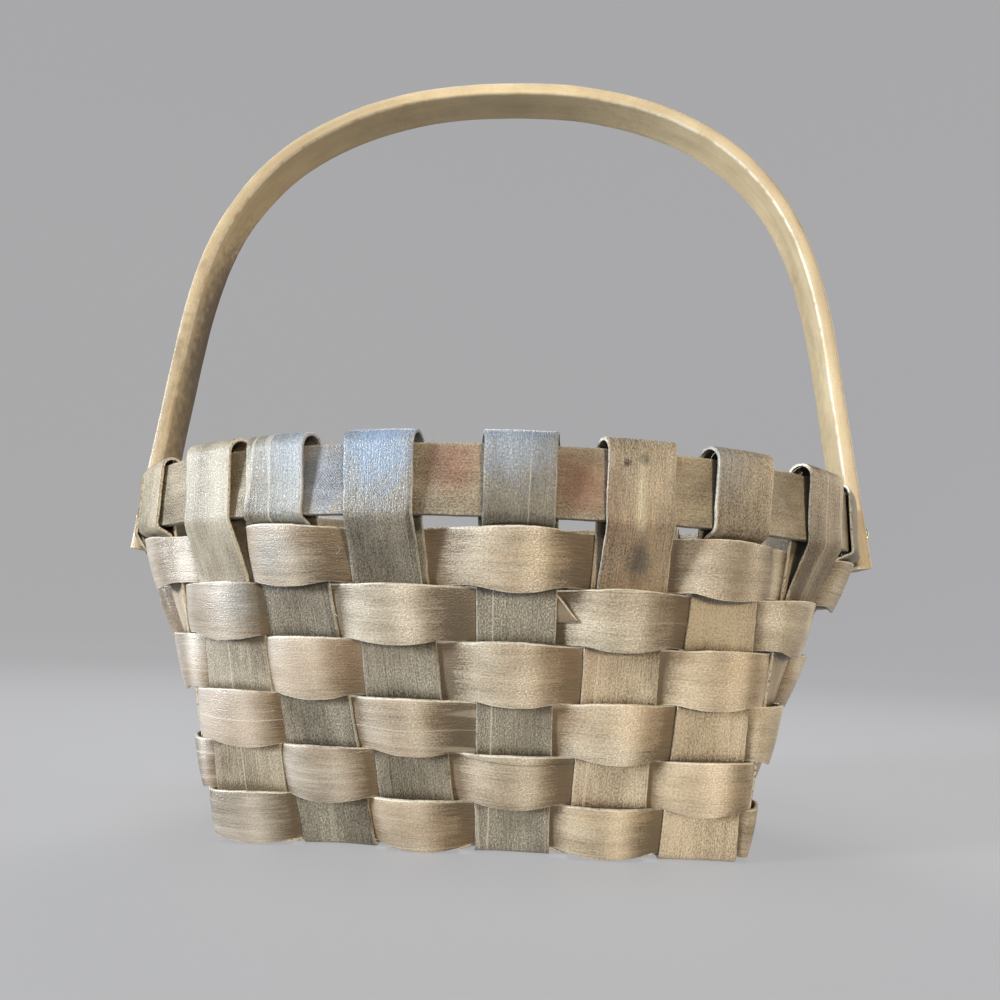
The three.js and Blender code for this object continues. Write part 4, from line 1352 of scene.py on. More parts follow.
# Each set of saw marks: its slant, where it starts and how little of the face it takes
SAW_SETS = ((0.9, 0.0, 0.55), (-1.3, 0.31, 0.62))
SAW_WOBBLE = 0.003
SAW_WOBBLE_FREQUENCY = 260.0
SAW_CREST = (0.1, 1.0)
SAW_PATCH_FREQUENCY = 70.0
SAW_PATCH_SHIFT = 9
SAW_PATCH_BORDER = 0.12


def saw_marks():
    """Two sets of slanting scratches across a sawn face."""
    graph, given, ending = new_tree(
        "Saw marks",
        "ShaderNodeTree",
        {"Place": "Vector", "Spacing": 0.0009},
        {"Mark": "Float"},
    )
    place = graph.split(given["Place"])
    wobble = graph.noise(graph.vector("SCALE", given["Place"], SAW_WOBBLE_FREQUENCY), 3.0)
    wobble = graph.times(wobble, SAW_WOBBLE)
    patches = graph.vector("SCALE", given["Place"], SAW_PATCH_FREQUENCY)
    sets = []
    for lean, start, share in SAW_SETS:
        slant = graph.plus(place["X"], graph.times(place["Y"], lean), wobble)
        slant = graph.maths("DIVIDE", slant, given["Spacing"])
        wave = graph.maths("SINE", graph.times(graph.plus(slant, start), math.tau))
        seen = graph.noise(graph.vector("ADD", patches, (start * SAW_PATCH_SHIFT, 0, 0)), 2.0)
        seen = graph.between(seen, share - SAW_PATCH_BORDER, share)
        sets.append(graph.times(graph.between(wave, *SAW_CREST), seen))
    graph.feed(ending["Mark"], graph.maths("MAXIMUM", *sets))
    return graph.tree


# How deep the grain is, how strongly it shows, and how dark a saw mark is
GRAIN_DEPTH = 0.0004
SMOOTH_RELIEF = 0.2
SPECKLE_RELIEF = 0.3
SAW_MARK_SHADE = 0.5

# Where the wood grows smooth towards the left and is painted with cool light, in metres from the middle
POLISH_RANGE = (0.02, -0.12)


def new_material(name):
    """A material, its nodes and its shader."""
    material = bpy.data.materials.new(name)
    material.use_nodes = True
    return material, Graph(material.node_tree), material.node_tree.nodes["Principled BSDF"]


def stained_wood(name, seed, look, spots=(), sawn=0.0):
    """Wood with a look, its own seed, and spots (centre, size, colour, strength)."""
    colours = bpy.context.scene.basket_colours
    material, graph, shader = new_material(name)

    def tint(label):
        return (*getattr(colours, label), 1)

    grain_place = graph.add("ShaderNodeUVMap", uv_map="grain")
    place = graph.add("ShaderNodeTexCoord").outputs["Object"]
    polish = graph.times(graph.between(graph.split(place)["X"], *POLISH_RANGE), look.polish)
    plain = graph.minus(1.0, polish)
    values = {
        "Place": grain_place,
        "Seed": seed,
        "Pale": graph.blend(polish, tint(f"{look.stain}_pale"), tint("polished")),
        "Deep": tint(f"{look.stain}_deep"),
        "Bare": tint("bare_wood"),
        "Edge Colour": tint("cut_edge"),
        "Crack Colour": tint("crack"),
        "Tone": look.tone,
        "Back Tone": look.back_tone,
        "Warmth": look.warmth,
        "Speckle": graph.times(plain, look.speckle),
        "Glitter": graph.times(plain, look.glitter),
        "Cracks": look.cracks,
        "Edge Wear": look.edge_wear,
        "Cut": look.cut,
    }
    for label in ("rub", "edge", "side", "back", "cover"):
        values[label.title()] = graph.add("ShaderNodeAttribute", attribute_name=label).outputs["Fac"]
    figure = graph.add("ShaderNodeGroup", node_tree=kit("Stained wood", wood_figure))
    for label, value in values.items():
        graph.feed(figure.inputs[label], value)
    colour_now = figure.outputs["Color"]
    height = figure.outputs["Height"]
    for centre, spread, stain, strength in spots:
        spot = graph.add("ShaderNodeGroup", node_tree=kit("Stain spot", stain_spot))
        values = (colour_now, figure.outputs["Figure"], place, centre, spread, tint(stain), strength)
        for socket, value in zip(spot.inputs, values):
            graph.feed(socket, value)
        colour_now = spot.outputs["Color"]
    if sawn:
        marks = graph.add("ShaderNodeGroup", node_tree=kit("Saw marks", saw_marks))
        graph.feed(marks.inputs["Place"], grain_place)
        mark = graph.times(marks.outputs["Mark"], sawn)
        colour_now = graph.blend(graph.times(mark, SAW_MARK_SHADE), colour_now, tint("crack"))
        height = graph.minus(height, mark)
    relief = SMOOTH_RELIEF + SPECKLE_RELIEF * look.speckle
    bump = graph.add("ShaderNodeBump", {"Strength": relief, "Distance": GRAIN_DEPTH, "Height": height})
    graph.feed(shader.inputs["Base Color"], colour_now)
    graph.feed(shader.inputs["Roughness"], figure.outputs["Roughness"])
    graph.feed(shader.inputs["Normal"], bump)
    return material


# The dull spots on the nails
DULL_FREQUENCY = 900.0
DULL_SPAN = (0.4, 0.7)
DULL_COLOUR = (0.5, 0.42, 0.27, 1)
BRIGHT_ROUGHNESS = 0.28
DULL_ROUGHNESS = 0.3


def nail_metal():
    """Dull plated steel."""
    material, graph, shader = new_material("plated_nail")
    place = graph.add("ShaderNodeTexCoord").outputs["Object"]
    spots = graph.noise(graph.vector("SCALE", place, DULL_FREQUENCY), 3.0, 0.6)
    dull = graph.between(spots, *DULL_SPAN)
    bright = (*bpy.context.scene.basket_colours.nail, 1)
    graph.feed(shader.inputs["Base Color"], graph.blend(dull, bright, DULL_COLOUR))
    rough = graph.plus(BRIGHT_ROUGHNESS, graph.times(dull, DULL_ROUGHNESS))
    graph.feed(shader.inputs["Roughness"], rough)
    shader.inputs["Metallic"].default_value = 1.0
    return material


@dataclass
class Look:
    """How a piece is stained: how pale its face and its back are, how warm, cracked, speckled and
    glittering with painted glints it is, how worn its edges and cut sides are, and how smooth and how
    painted with cool light it is on the left."""

    stain: str
    tone: float
    back_tone: float
    warmth: float
    cracks: float
    speckle: float = 0.8
    glitter: float = 0.6
    edge_wear: float = 0.3
    cut: float = 0.95
    polish: float = 0.0


# The face of a splint shows on its folds, and its back on the outside of the wall
LONG_LOOKS = (
    Look("cream", tone=0.42, back_tone=0.24, warmth=0.1, cracks=0.2, polish=0.5),
    Look("olive", tone=0.6, back_tone=0.42, warmth=0.1, cracks=0.4),
    Look("olive", tone=0.34, back_tone=0.52, warmth=0.1, cracks=0.5),
    Look("olive", tone=0.38, back_tone=0.48, warmth=0.05, cracks=0.2),
    Look("tan", tone=0.38, back_tone=0.55, warmth=0.35, cracks=0.3),
    Look("tan", tone=0.32, back_tone=0.78, warmth=0.1, cracks=0.3, speckle=0.9),
)
CROSS_LOOKS = (
    Look("tan", tone=0.28, back_tone=0.5, warmth=0.1, cracks=0.4),
    Look("olive", tone=0.45, back_tone=0.6, warmth=0.2, cracks=0.4),
    Look("olive", tone=0.4, back_tone=0.55, warmth=0.2, cracks=0.5),
    Look("cream", tone=0.4, back_tone=0.5, warmth=0.2, cracks=0.4),
)
TOP_ROW_LOOK = Look(
    "greige",
    tone=0.5,
    back_tone=0.4,
    warmth=0.3,
    cracks=0.4,
    speckle=0.6,
    glitter=1.0,
    edge_wear=0.8,
    polish=0.6,
)
WEAVER_LOOKS = (
    TOP_ROW_LOOK,
    replace(TOP_ROW_LOOK, tone=0.48, warmth=0.2, cracks=0.5, polish=0.7),
    replace(TOP_ROW_LOOK, tone=0.54, warmth=0.35, cracks=0.2, polish=0.8),
    replace(TOP_ROW_LOOK, tone=0.48, cracks=0.3, glitter=0.8, polish=0.9),
    replace(TOP_ROW_LOOK, tone=0.42, warmth=0.2, cracks=0.5, speckle=0.5, glitter=0.6, polish=0.9),
    replace(TOP_ROW_LOOK, tone=0.34, warmth=0.35, cracks=0.2, speckle=0.5, glitter=0.4, polish=0.9),
)
RIM_LOOK = Look(
    "hoop",
    tone=0.7,
    back_tone=0.45,
    warmth=0.1,
    cracks=0.2,
    speckle=1.0,
    glitter=0.6,
    edge_wear=0.4,
    cut=0.4,
)
# The handle's back tone is high: its inner face is painted paler, as painted light on the arch's underside
HANDLE_LOOK = Look(
    "handle",
    tone=0.66,
    back_tone=0.85,
    warmth=0.25,
    cracks=0.0,
    speckle=0.25,
    glitter=0.1,
    edge_wear=0.7,
    cut=0.1,
)

# Stains, knots, painted sheen and painted light and shade at places of the front: centre and half sizes in
# millimetres, colour and strength
SPOTS = {
    # The blue sheen spots paint the sky's reflection on the tops of the folds and on the rim, partly a
    # bluish stain
    "long_splint_2": (
        ((-58, -98, 130), (20, 14, 16), "sheen_blue", 0.5),
        ((-58, -98, 118), (20, 14, 20), "ash_pale", 0.5),
    ),
    "long_splint_3": (
        ((-31, -103, 134), (22, 18, 27), "sheen_blue", 0.95),
        ((-28, -99, 95), (18, 14, 24), "olive_deep", 0.35),
    ),
    "long_splint_4": (
        ((11, -104, 134), (24, 14, 22), "sheen_blue", 0.6),
        ((11, -103, 112), (22, 14, 12), "olive_deep", 0.4),
    ),
    "long_splint_5": (
        ((46.6, -101, 127), (1.6, 3, 1.9), "crack", 1.0),
        ((52, -100, 128.6), (2.2, 4, 2.5), "crack", 1.0),
        ((51.5, -99, 114), (2.4, 5, 24), "cream_pale", 0.55),
        ((57, -98, 96), (2.2, 5, 14), "cream_pale", 0.5),
        ((51.5, -92, 97), (5, 9, 11), "ash_deep", 0.72),
        ((42, -99, 110), (8, 8, 28), "red_wood", 0.3),
    ),
    "long_splint_6": (((75, -92, 132), (20, 16, 20), "ash_pale", 0.5),),
    "cross_splint_1": (((-150, -60, 120), (30, 60, 60), "cream_pale", 0.9),),
    "rim_hoop": (
        ((-8, -102, 125), (14, 8, 12), "red_wood", 0.75),
        ((33, -101, 120), (14, 8, 14), "red_wood", 0.85),
        ((-50, -98, 121), (26, 16, 20), "sheen_blue", 0.6),
        ((66, -92, 122), (14, 14, 18), "tan_pale", 0.5),
    ),
    # On the weavers, the ash spots on the left paint cool light, and the brown spots towards the right
    # paint warm light and shade, partly a warmer stain
    "weaver_row_1": (
        ((-68, -92, 97), (12, 10, 14), "ash_pale", 0.35),
        ((80, -82, 97), (24, 14, 12), "brown_deep", 0.4),
        ((20, -98, 97), (20, 12, 12), "brown_pale", 0.3),
    ),
    "weaver_row_2": (((-80, -83, 79), (20, 12, 16), "ash_pale", 0.5),),
    "weaver_row_3": (((70, -80, 60), (60, 40, 30), "brown_pale", 0.4),),
    "weaver_row_4": (((80, -80, 45), (60, 40, 30), "brown_pale", 0.4),),
    "weaver_row_5": (((70, -80, 25), (50, 40, 30), "brown_pale", 0.4),),
    "weaver_row_6": (((60, -70, 10), (60, 40, 30), "brown_pale", 0.4),),
    # On the handle: painted shade on the insides of the legs, and painted light on the arch's top and
    # underside
    "handle_hoop": (
        ((-145, 9, 190), (40, 22, 110), "tan_deep", 0.9),
        ((-145, 9, 225), (30, 14, 60), "tan_deep", 0.8),
        ((140, 8, 190), (25, 14, 110), "handle_deep", 0.6),
        ((0, 0, 332), (100, 30, 16), "handle_pale", 0.55),
    ),
}


def metres(millimetres):
    """A point or a size in metres."""
    return tuple(value / 1000 for value in millimetres)


def make_wood(node, rows, seed, look, section, sawn=0.0, **shape):
    """A node's strip with its own stained wood."""
    spots = [
        (metres(centre), metres(spread), tint, strength)
        for centre, spread, tint, strength in SPOTS.get(node, ())
    ]
    name = f"{node}_wood"
    material = stained_wood(name, seed, look, spots, sawn)
    return make_strip(name, rows, seed, material, section, **shape)


# The steps of a strip's outline, across a face and round an edge, and how far its face is cupped
STRIP_OUTLINE = (14, 2)
RIM_OUTLINE = (14, 3)
HANDLE_OUTLINE = (10, 4)
SPLINT_CUP = 0.0002
WEAVER_CUP = 0.0004

# Seeds of the pieces' own figure, and of the chance with which the strips are bent
LONG_SEED = 10
CROSS_SEED = 20
WEAVER_SEED = 30
RIM_SEED = 41
HANDLE_SEED = 43
SPLINT_CHANCE = 4
WEAVER_CHANCE = 7


# Operators
class BASKET_OT_splints(bpy.types.Operator):
    """Make the ten wide splints of the bottom and the walls, with their ends folded over the rim"""

    bl_idname = "basket.splints"
    bl_label = "Splints"

    def execute(self, context):
        layout = Layout(context.scene.basket_sizes, context.scene.basket_wear)
        uprights = layout.uprights
        front = uprights[:LONG_COUNT]
        right = uprights[LONG_COUNT : LONG_COUNT + CROSS_COUNT]
        section = section_object(*STRIP_OUTLINE)
        chance = np.random.default_rng(SPLINT_CHANCE)
        for i, end in enumerate(front):
            start = uprights[UPRIGHT_COUNT - CROSS_COUNT - 1 - i]
            rows = splint_path(layout, start, end, right, chance)
            node = f"long_splint_{i + 1}"
            self.make(node, rows, LONG_SEED + i, section, "upright_splint", LONG_LOOKS[i])
        for i, end in enumerate(right):
            start = uprights[UPRIGHT_COUNT - 1 - i]
            rows = splint_path(layout, start, end, front, chance)
            node = f"cross_splint_{i + 1}"
            self.make(node, rows, CROSS_SEED + i, section, "cross_splint", CROSS_LOOKS[i])
        bpy.data.objects.remove(section)
        return {"FINISHED"}

    def make(self, node, rows, seed, section, slot, look):
        """One splint, in place of its node."""
        piece = make_wood(node, rows, seed, look, section, cup=SPLINT_CUP)
        hand_over(piece, BASKET_BODY, slot, node)


class BASKET_OT_weavers(bpy.types.Operator):
    """Make the six rings that are woven round the uprights"""

    bl_idname = "basket.weavers"
    bl_label = "Weavers"

    def execute(self, context):
        layout = Layout(context.scene.basket_sizes, context.scene.basket_wear)
        section = section_object(*STRIP_OUTLINE)
        chance = np.random.default_rng(WEAVER_CHANCE)
        for row in range(WEAVER_ROWS):
            node = f"weaver_row_{row + 1}"
            rows = weaver_path(layout, row, chance)
            look = WEAVER_LOOKS[row]
            piece = make_wood(node, rows, WEAVER_SEED + row, look, section, cup=WEAVER_CUP)
            hand_over(piece, BASKET_BODY, "weaver", node)
        bpy.data.objects.remove(section)
        return {"FINISHED"}


# The rounded edges and the uneven outline of the two hoops, and the strength of the rim's saw marks
RIM_EDGE = 0.0005
RIM_SAWN = 0.8
HANDLE_EDGE = 0.0014
HANDLE_NICK = 0.0002
HANDLE_WANDER = 0.0003

# The pivot nails
NAIL_FIT = 0.00035
NAIL_STANDOFF = 0.0016
NAIL_HEAD_EDGE = 0.0005
NAIL_HEAD_HEIGHT = 0.0015
NAIL_HEAD_CHAMFER = 0.0003
NAIL_HEAD_CHAMFER_HEIGHT = 0.0002
NAIL_BURR = 0.007
NAIL_BURR_HEIGHT = 0.0012
NAIL_TILT = 0.16
NAIL_FACETS = 48
NAIL_DOME_STEPS = 6
NAIL_MERGE = 1e-6
NAIL_SHARP_ANGLE = 0.6
DRILL_FACETS = 32

# The beaten end, as shares of its height and of its radius
BURR_PROFILE = ((1, 0), (1, 0.7), (0.8, 0.93), (0.4, 1), (0, 0.95))


def bore(piece, low, high):
    """Cuts the nails' holes through both sides of a hoop, between two distances from the middle."""
    radius = bpy.context.scene.basket_sizes.nail_shank / 2 + NAIL_FIT
    drills = bmesh.new()
    for side in (-1, 1):
        middle = Vector((side * (low + high) / 2, 0, PIVOT.z))
        turn = Matrix.Rotation(math.pi / 2, 4, "Y")
        bmesh.ops.create_cone(
            drills,
            cap_ends=True,
            segments=DRILL_FACETS,
            radius1=radius,
            radius2=radius,
            depth=high - low,
            matrix=Matrix.Translation(middle) @ turn,
        )
    cutter = link_shape("drills", drills)
    cut = piece.modifiers.new("Holes", "BOOLEAN")
    cut.object = cutter
    cut.solver = "EXACT"
    bpy.context.view_layer.update()
    plain_mesh(piece)
    bpy.data.objects.remove(cutter)


class BASKET_OT_rim(bpy.types.Operator):
    """Make the rim hoop, a band bent to an oval"""

    bl_idname = "basket.rim"
    bl_label = "Rim hoop"

    def execute(self, context):
        sizes = context.scene.basket_sizes
        section = section_object(*RIM_OUTLINE)
        rows = rim_path(sizes)
        shape = {"edge_radius": RIM_EDGE, "wander": 0.0}
        piece = make_wood("rim_hoop", rows, RIM_SEED, RIM_LOOK, section, RIM_SAWN, **shape)
        bore(piece, RIM_HIGH.x - 2 * sizes.band_thickness, RIM_HIGH.x + sizes.band_thickness)
        hand_over(piece, BASKET_BODY, "rim", "rim_hoop")
        bpy.data.objects.remove(section)
        return {"FINISHED"}


class BASKET_OT_handle(bpy.types.Operator):
    """Make the handle, a thick band bent to an arch"""

    bl_idname = "basket.handle"
    bl_label = "Handle"

    def execute(self, context):
        sizes = context.scene.basket_sizes
        section = section_object(*HANDLE_OUTLINE)
        rows = handle_path(sizes)
        shape = {"edge_radius": HANDLE_EDGE, "nick": HANDLE_NICK, "wander": HANDLE_WANDER}
        piece = make_wood("handle_hoop", rows, HANDLE_SEED, HANDLE_LOOK, section, **shape)
        inside = RIM_HIGH.x + sizes.side_gap / 2
        bore(piece, inside, RIM_HIGH.x + sizes.side_gap + 2 * sizes.handle_thickness)
        hand_over(piece, HANDLE_BODY, "handle", "handle_hoop")
        bpy.data.objects.remove(section)
        return {"FINISHED"}


class BASKET_OT_nails(bpy.types.Operator):
    """Make the two nails on which the handle swings, each with a domed head and a beaten end"""

    bl_idname = "basket.nails"
    bl_label = "Pivot nails"

    def execute(self, context):
        material = nail_metal()
        for side, label in ((-1, "left"), (1, "right")):
            node = f"pivot_nail_{label}"
            piece = self.nail(context.scene.basket_sizes, f"{node}_metal", side)
            piece.data.materials.append(material)
            hand_over(piece, BASKET_BODY, "nail", node)
        return {"FINISHED"}

    def profile(self, sizes):
        """Distances outside the rim's outer face and radii, from the beaten end to the head's crown."""
        inside = -sizes.band_thickness - sizes.clearance
        head_base = sizes.side_gap + sizes.handle_thickness + NAIL_STANDOFF
        head = sizes.nail_head / 2
        shank = sizes.nail_shank / 2
        burr = NAIL_BURR / 2
        points = [(inside - NAIL_BURR_HEIGHT * height, burr * radius) for height, radius in BURR_PROFILE]
        points += [
            (inside, shank),
            (head_base, shank),
            (head_base, head - NAIL_HEAD_CHAMFER),
            (head_base + NAIL_HEAD_CHAMFER_HEIGHT, head),
        ]
        for i in range(NAIL_DOME_STEPS + 1):
            angle = math.pi / 2 * i / NAIL_DOME_STEPS
            height = mix(NAIL_HEAD_EDGE, NAIL_HEAD_HEIGHT, math.sin(angle))
            points.append((head_base + height, head * math.cos(angle)))
        return points, head_base

    def nail(self, sizes, name, side):
        """One nail, its head a little tilted."""
        points, head_base = self.profile(sizes)
        points = [(x, 0, radius) for x, radius in points]
        shape = lathe(points, (1, 0, 0), NAIL_FACETS, NAIL_MERGE)
        for vert in shape.verts:
            if vert.co.x >= head_base:
                vert.co.x += NAIL_TILT * vert.co.z
            vert.co.x = side * (RIM_HIGH.x + vert.co.x)
            vert.co.z += PIVOT.z
        bmesh.ops.recalc_face_normals(shape, faces=shape.faces)
        for edge in shape.edges:
            edge.smooth = edge.calc_face_angle(0) < NAIL_SHARP_ANGLE
        return link_shape(name, shape)


# Loose fibres
FIBRE_STEPS = 9
FIBRE_SIDES = 3
FIBRE_RADIUS = 0.016
FIBRE_TAPER = 0.8
FIBRE_ROUGHNESS = 0.5
FIBRE_FREQUENCY = 90.0
FIBRE_SPAN = (0.4, 0.6)
SPLINTER_LENGTH = 0.0018
SPLINTER_DEPTH = 0.001

# How a fibre curls towards two sides: how far, and how fast along its length
FIBRE_CURL = 0.16
FIBRE_CURL_RATE = 3
FIBRE_BEND = 0.12
FIBRE_BEND_RATE = 4

# How the three scatters differ from the fibre tree's own values
LOOSE = {"Patchiness": 0.45}
LYING = {"Stoutness": 1.2, "Lie": 4.0, "Least Edge": -1.0, "Patchiness": 0.4}
SPLINTERS = {"Stoutness": 6.0, "Lie": 0.5, "Patchiness": 0.5}


class BASKET_OT_fibres(bpy.types.Operator):
    """Make the loose fibres on the strips' edges and the splinters along the rim's top"""

    bl_idname = "basket.fibres"
    bl_label = "Loose fibres"

    def execute(self, context):
        wear = context.scene.basket_wear
        longest = wear.fibre_length
        fibre = self.single_fibre()
        strips = [piece for piece in bpy.data.objects if piece.name.endswith("_wood")]
        woven = [piece for piece in strips if not piece.name.startswith(("handle", "rim"))]
        rim = [piece for piece in strips if piece.name.startswith("rim")]
        if not woven or not rim:
            raise RuntimeError("The splints, the weavers and the rim hoop come before their fibres")
        common = {"Fibre": fibre, "Seed": wear.seed, "Material": self.pale_fibre(context)}
        loose = {"Density": wear.fibre_density, "Longest": longest}
        lying = {"Density": wear.lying_density, "Shortest": longest / 2, "Longest": 1.5 * longest}
        splinters = {
            "Density": wear.splinter_density,
            "Shortest": SPLINTER_LENGTH / 4,
            "Longest": SPLINTER_LENGTH,
            "Lowest": RIM_HIGH.z - SPLINTER_DEPTH,
        }
        self.scatter("loose_fibres", woven, "weaver", {**loose, **LOOSE, **common})
        self.scatter("lying_fibres", woven, "weaver", {**lying, **LYING, **common})
        self.scatter("rim_splinters", rim, "rim", {**splinters, **SPLINTERS, **common})
        bpy.data.objects.remove(fibre)
        return {"FINISHED"}

    def pale_fibre(self, context):
        """The pale inside of the wood, which changes from place to place."""
        colours = context.scene.basket_colours
        material, graph, shader = new_material("loose_fibre")
        place = graph.add("ShaderNodeTexCoord").outputs["Object"]
        change = graph.noise(graph.vector("SCALE", place, FIBRE_FREQUENCY), 1.0)
        change = graph.between(change, *FIBRE_SPAN)
        shade = graph.blend(change, (*colours.cut_edge, 1), (*colours.tan_pale, 1))
        graph.feed(shader.inputs["Base Color"], shade)
        shader.inputs["Roughness"].default_value = FIBRE_ROUGHNESS
        return material

    def single_fibre(self):
        """A curled, tapering fibre of unit length that starts at the origin."""
        shape = bmesh.new()
        rings = []
        for i in range(FIBRE_STEPS + 1):
            share = i / FIBRE_STEPS
            curl = FIBRE_CURL * math.sin(FIBRE_CURL_RATE * share)
            middle = Vector((curl, FIBRE_BEND * (1 - math.cos(FIBRE_BEND_RATE * share)), share))
            radius = FIBRE_RADIUS * (1 - FIBRE_TAPER * share)
            ring = []
            for side in range(FIBRE_SIDES):
                angle = math.tau * side / FIBRE_SIDES
                outwards = Vector((math.cos(angle), math.sin(angle), 0))
                ring.append(shape.verts.new(middle + radius * outwards))
            rings.append(ring)
        for low, high in zip(rings, rings[1:]):
            for side in range(FIBRE_SIDES):
                following = (side + 1) % FIBRE_SIDES
                shape.faces.new((low[side], low[following], high[following], high[side]))
        shape.faces.new(rings[0][::-1])
        shape.faces.new(rings[-1])
        for face in shape.faces:
            face.smooth = True
        return link_shape("fibre", shape)

    def scatter(self, name, strips, slot, values):
        """Scatters fibres over the strips' edges, as one piece that rides with the basket."""
        group = bpy.data.collections.new(name)
        bpy.context.scene.collection.children.link(group)
        for strip in strips:
            group.objects.link(strip)
        piece = link(name, bpy.data.meshes.new(name))
        add_tree(piece, kit("Loose fibres", fibre_tree), {"Strips": group, **values})
        bpy.data.collections.remove(group)
        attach(piece, BASKET_BODY)


# The stage
FLOOR_RADIUS = 8.0
SWEEP_RADIUS = 4.0
WALL_HEIGHT = 13.0
FLOOR_GLOW = 2.4
FLOOR_BOUNCE = 1.35
FLOOR_ROUGHNESS = 0.7
FLOOR_SIDES = 96
FLOOR_MERGE = 1e-5
SWEEP_STEPS = 24
LAMP_SPREAD = math.radians(60)
ROOM_COLOUR = (0.95, 0.97, 1.0, 1)

# Each lamp's place, width and colour
LAMPS = {
    "key": ((-3.6, -1.68, 0.62), 0.8, (0.86, 0.93, 1.0)),
    "fill": ((1.64, -3.65, 0.55), 0.5, (1.0, 0.84, 0.6)),
    "top": ((-0.2, -0.3, 2.2), 0.9, (0.72, 0.85, 1.0)),
    "back": ((-0.3, 1.8, 2.2), 1.2, (1.0, 0.97, 0.93)),
    "side": ((2.2, 0.7, 0.9), 1.2, (1.0, 0.93, 0.82)),
}

# The camera: where it stands, how it is turned, its lens in millimetres and the depth that it shows
EYE = Vector((0.01916, -0.32961, 0.06987))
EYE_YAW = math.radians(2.94)
EYE_PITCH = math.radians(10.96)
EYE_ROLL = math.radians(1.96)
LENS = 27.04
CLIP_START = 0.01
CLIP_END = 50


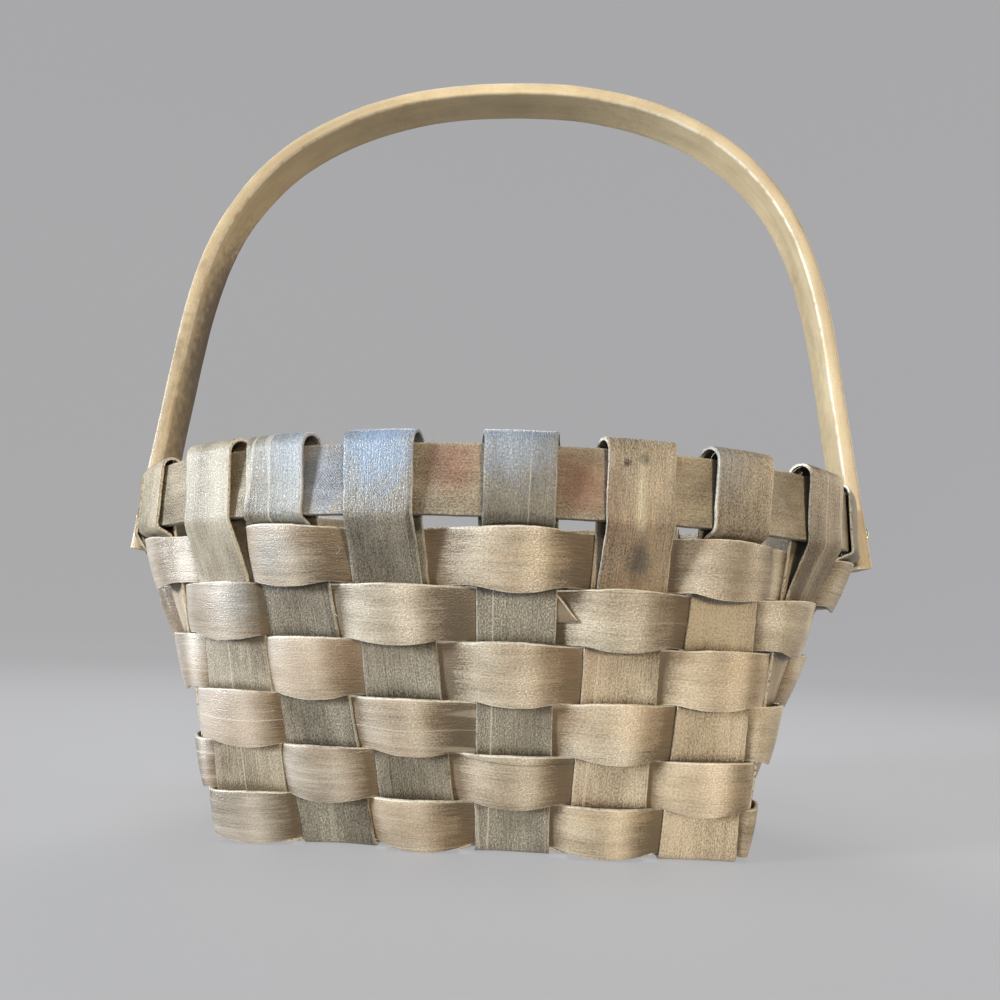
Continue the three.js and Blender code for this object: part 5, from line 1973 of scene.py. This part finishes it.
class BASKET_OT_stage(bpy.types.Operator):
    """Make the pale floor, the soft lights and the camera"""

    bl_idname = "basket.stage"
    bl_label = "Stage"

    def execute(self, context):
        self.floor(context)
        self.lights(context)
        self.camera(context)
        return {"FINISHED"}

    def floor(self, context):
        """A round floor whose border rises in a curve to a wall, so that no edge of it shows."""
        flat_radius = FLOOR_RADIUS - SWEEP_RADIUS
        profile = [(0, 0, 0), (flat_radius, 0, 0)]
        for i in range(1, SWEEP_STEPS + 1):
            angle = math.pi / 2 * i / SWEEP_STEPS
            radius = flat_radius + SWEEP_RADIUS * math.sin(angle)
            profile.append((radius, 0, SWEEP_RADIUS * (1 - math.cos(angle))))
        profile.append((FLOOR_RADIUS, 0, WALL_HEIGHT))
        shape = lathe(profile, (0, 0, 1), FLOOR_SIDES, FLOOR_MERGE)
        floor = link_shape("stage_floor", shape)
        tint = (*context.scene.basket_colours.floor, 1)
        material, graph, shader = new_material("stage_floor")
        shader.inputs["Base Color"].default_value = tint
        shader.inputs["Emission Color"].default_value = tint
        shader.inputs["Roughness"].default_value = FLOOR_ROUGHNESS
        seen = graph.add("ShaderNodeLightPath").outputs["Is Camera Ray"]
        glow = graph.between(seen, 0.0, 1.0, "LINEAR")
        graph.feed(glow.inputs["To Min"], FLOOR_BOUNCE)
        graph.feed(glow.inputs["To Max"], FLOOR_GLOW)
        graph.feed(shader.inputs["Emission Strength"], glow)
        floor.data.materials.append(material)

    def lights(self, context):
        """The lamps round the basket and the light of the room."""
        stage = context.scene.basket_stage
        for label, (place, width, tint) in LAMPS.items():
            self.light(f"{label}_light", place, width, getattr(stage, label), tint)
        world = bpy.data.worlds.new("soft_room")
        world.use_nodes = True
        background = world.node_tree.nodes["Background"]
        background.inputs["Color"].default_value = ROOM_COLOUR
        background.inputs["Strength"].default_value = stage.room
        context.scene.world = world
        context.scene.view_settings.view_transform = "Standard"

    def light(self, name, place, width, power, tint):
        """A square soft light that points at the basket."""
        cad_middle = (Vector(cad_bounds[0]) + Vector(cad_bounds[1])) / 2
        lamp = bpy.data.lights.new(name, "AREA")
        lamp.shape = "SQUARE"
        lamp.size = width
        lamp.energy = power
        lamp.color = tint
        lamp.spread = LAMP_SPREAD
        holder = bpy.data.objects.new(name, lamp)
        holder.location = place
        holder.visible_camera = False
        holder.rotation_euler = (cad_middle - Vector(place)).to_track_quat("-Z", "Y").to_euler()
        bpy.context.scene.collection.objects.link(holder)

    def camera(self, context):
        """The camera, turned by its yaw, its pitch and its roll."""
        lens = bpy.data.cameras.new("camera")
        lens.lens = LENS
        lens.clip_start = CLIP_START
        lens.clip_end = CLIP_END
        holder = bpy.data.objects.new("camera", lens)
        yaw, pitch, roll = EYE_YAW, EYE_PITCH, EYE_ROLL
        forward = Vector(
            (-math.sin(yaw) * math.cos(pitch), math.cos(yaw) * math.cos(pitch), math.sin(pitch))
        )
        level = Vector((math.cos(yaw), math.sin(yaw), 0))
        upright = level.cross(forward)
        right = math.cos(roll) * level + math.sin(roll) * upright
        up = math.cos(roll) * upright - math.sin(roll) * level
        turn = Matrix((right, up, -forward)).transposed().to_4x4()
        holder.matrix_world = Matrix.Translation(EYE) @ turn
        context.scene.collection.objects.link(holder)
        context.scene.camera = holder


class BASKET_PT_panel(bpy.types.Panel):
    """The basket's sizes, colours and pieces in the sidebar"""

    bl_idname = "BASKET_PT_panel"
    bl_label = "Splint Basket"
    bl_space_type = "VIEW_3D"
    bl_region_type = "UI"
    bl_category = "Basket"

    def draw(self, context):
        for label, kind in GROUPS.items():
            box = self.layout.box()
            for name in kind.__annotations__:
                box.prop(getattr(context.scene, label), name)
        for operator in PIECES:
            self.layout.operator(operator.bl_idname)


GROUPS = {
    "basket_sizes": BasketSizes,
    "basket_colours": BasketColours,
    "basket_wear": BasketWear,
    "basket_stage": BasketStage,
}
PIECES = (
    BASKET_OT_splints,
    BASKET_OT_weavers,
    BASKET_OT_rim,
    BASKET_OT_handle,
    BASKET_OT_nails,
    BASKET_OT_fibres,
    BASKET_OT_stage,
)


def register():
    for name, group in GROUPS.items():
        bpy.utils.register_class(group)
        setattr(bpy.types.Scene, name, PointerProperty(type=group))
    for operator in PIECES:
        bpy.utils.register_class(operator)
    bpy.utils.register_class(BASKET_PT_panel)


def unregister():
    bpy.utils.unregister_class(BASKET_PT_panel)
    for operator in reversed(PIECES):
        bpy.utils.unregister_class(operator)
    for name, group in reversed(list(GROUPS.items())):
        delattr(bpy.types.Scene, name)
        bpy.utils.unregister_class(group)


def main():
    """Makes every piece and the stage."""
    register()
    bpy.ops.basket.splints()
    bpy.ops.basket.weavers()
    bpy.ops.basket.rim()
    bpy.ops.basket.handle()
    bpy.ops.basket.nails()
    bpy.ops.basket.fibres()
    bpy.ops.basket.stage()


if __name__ == "__main__":
    main()
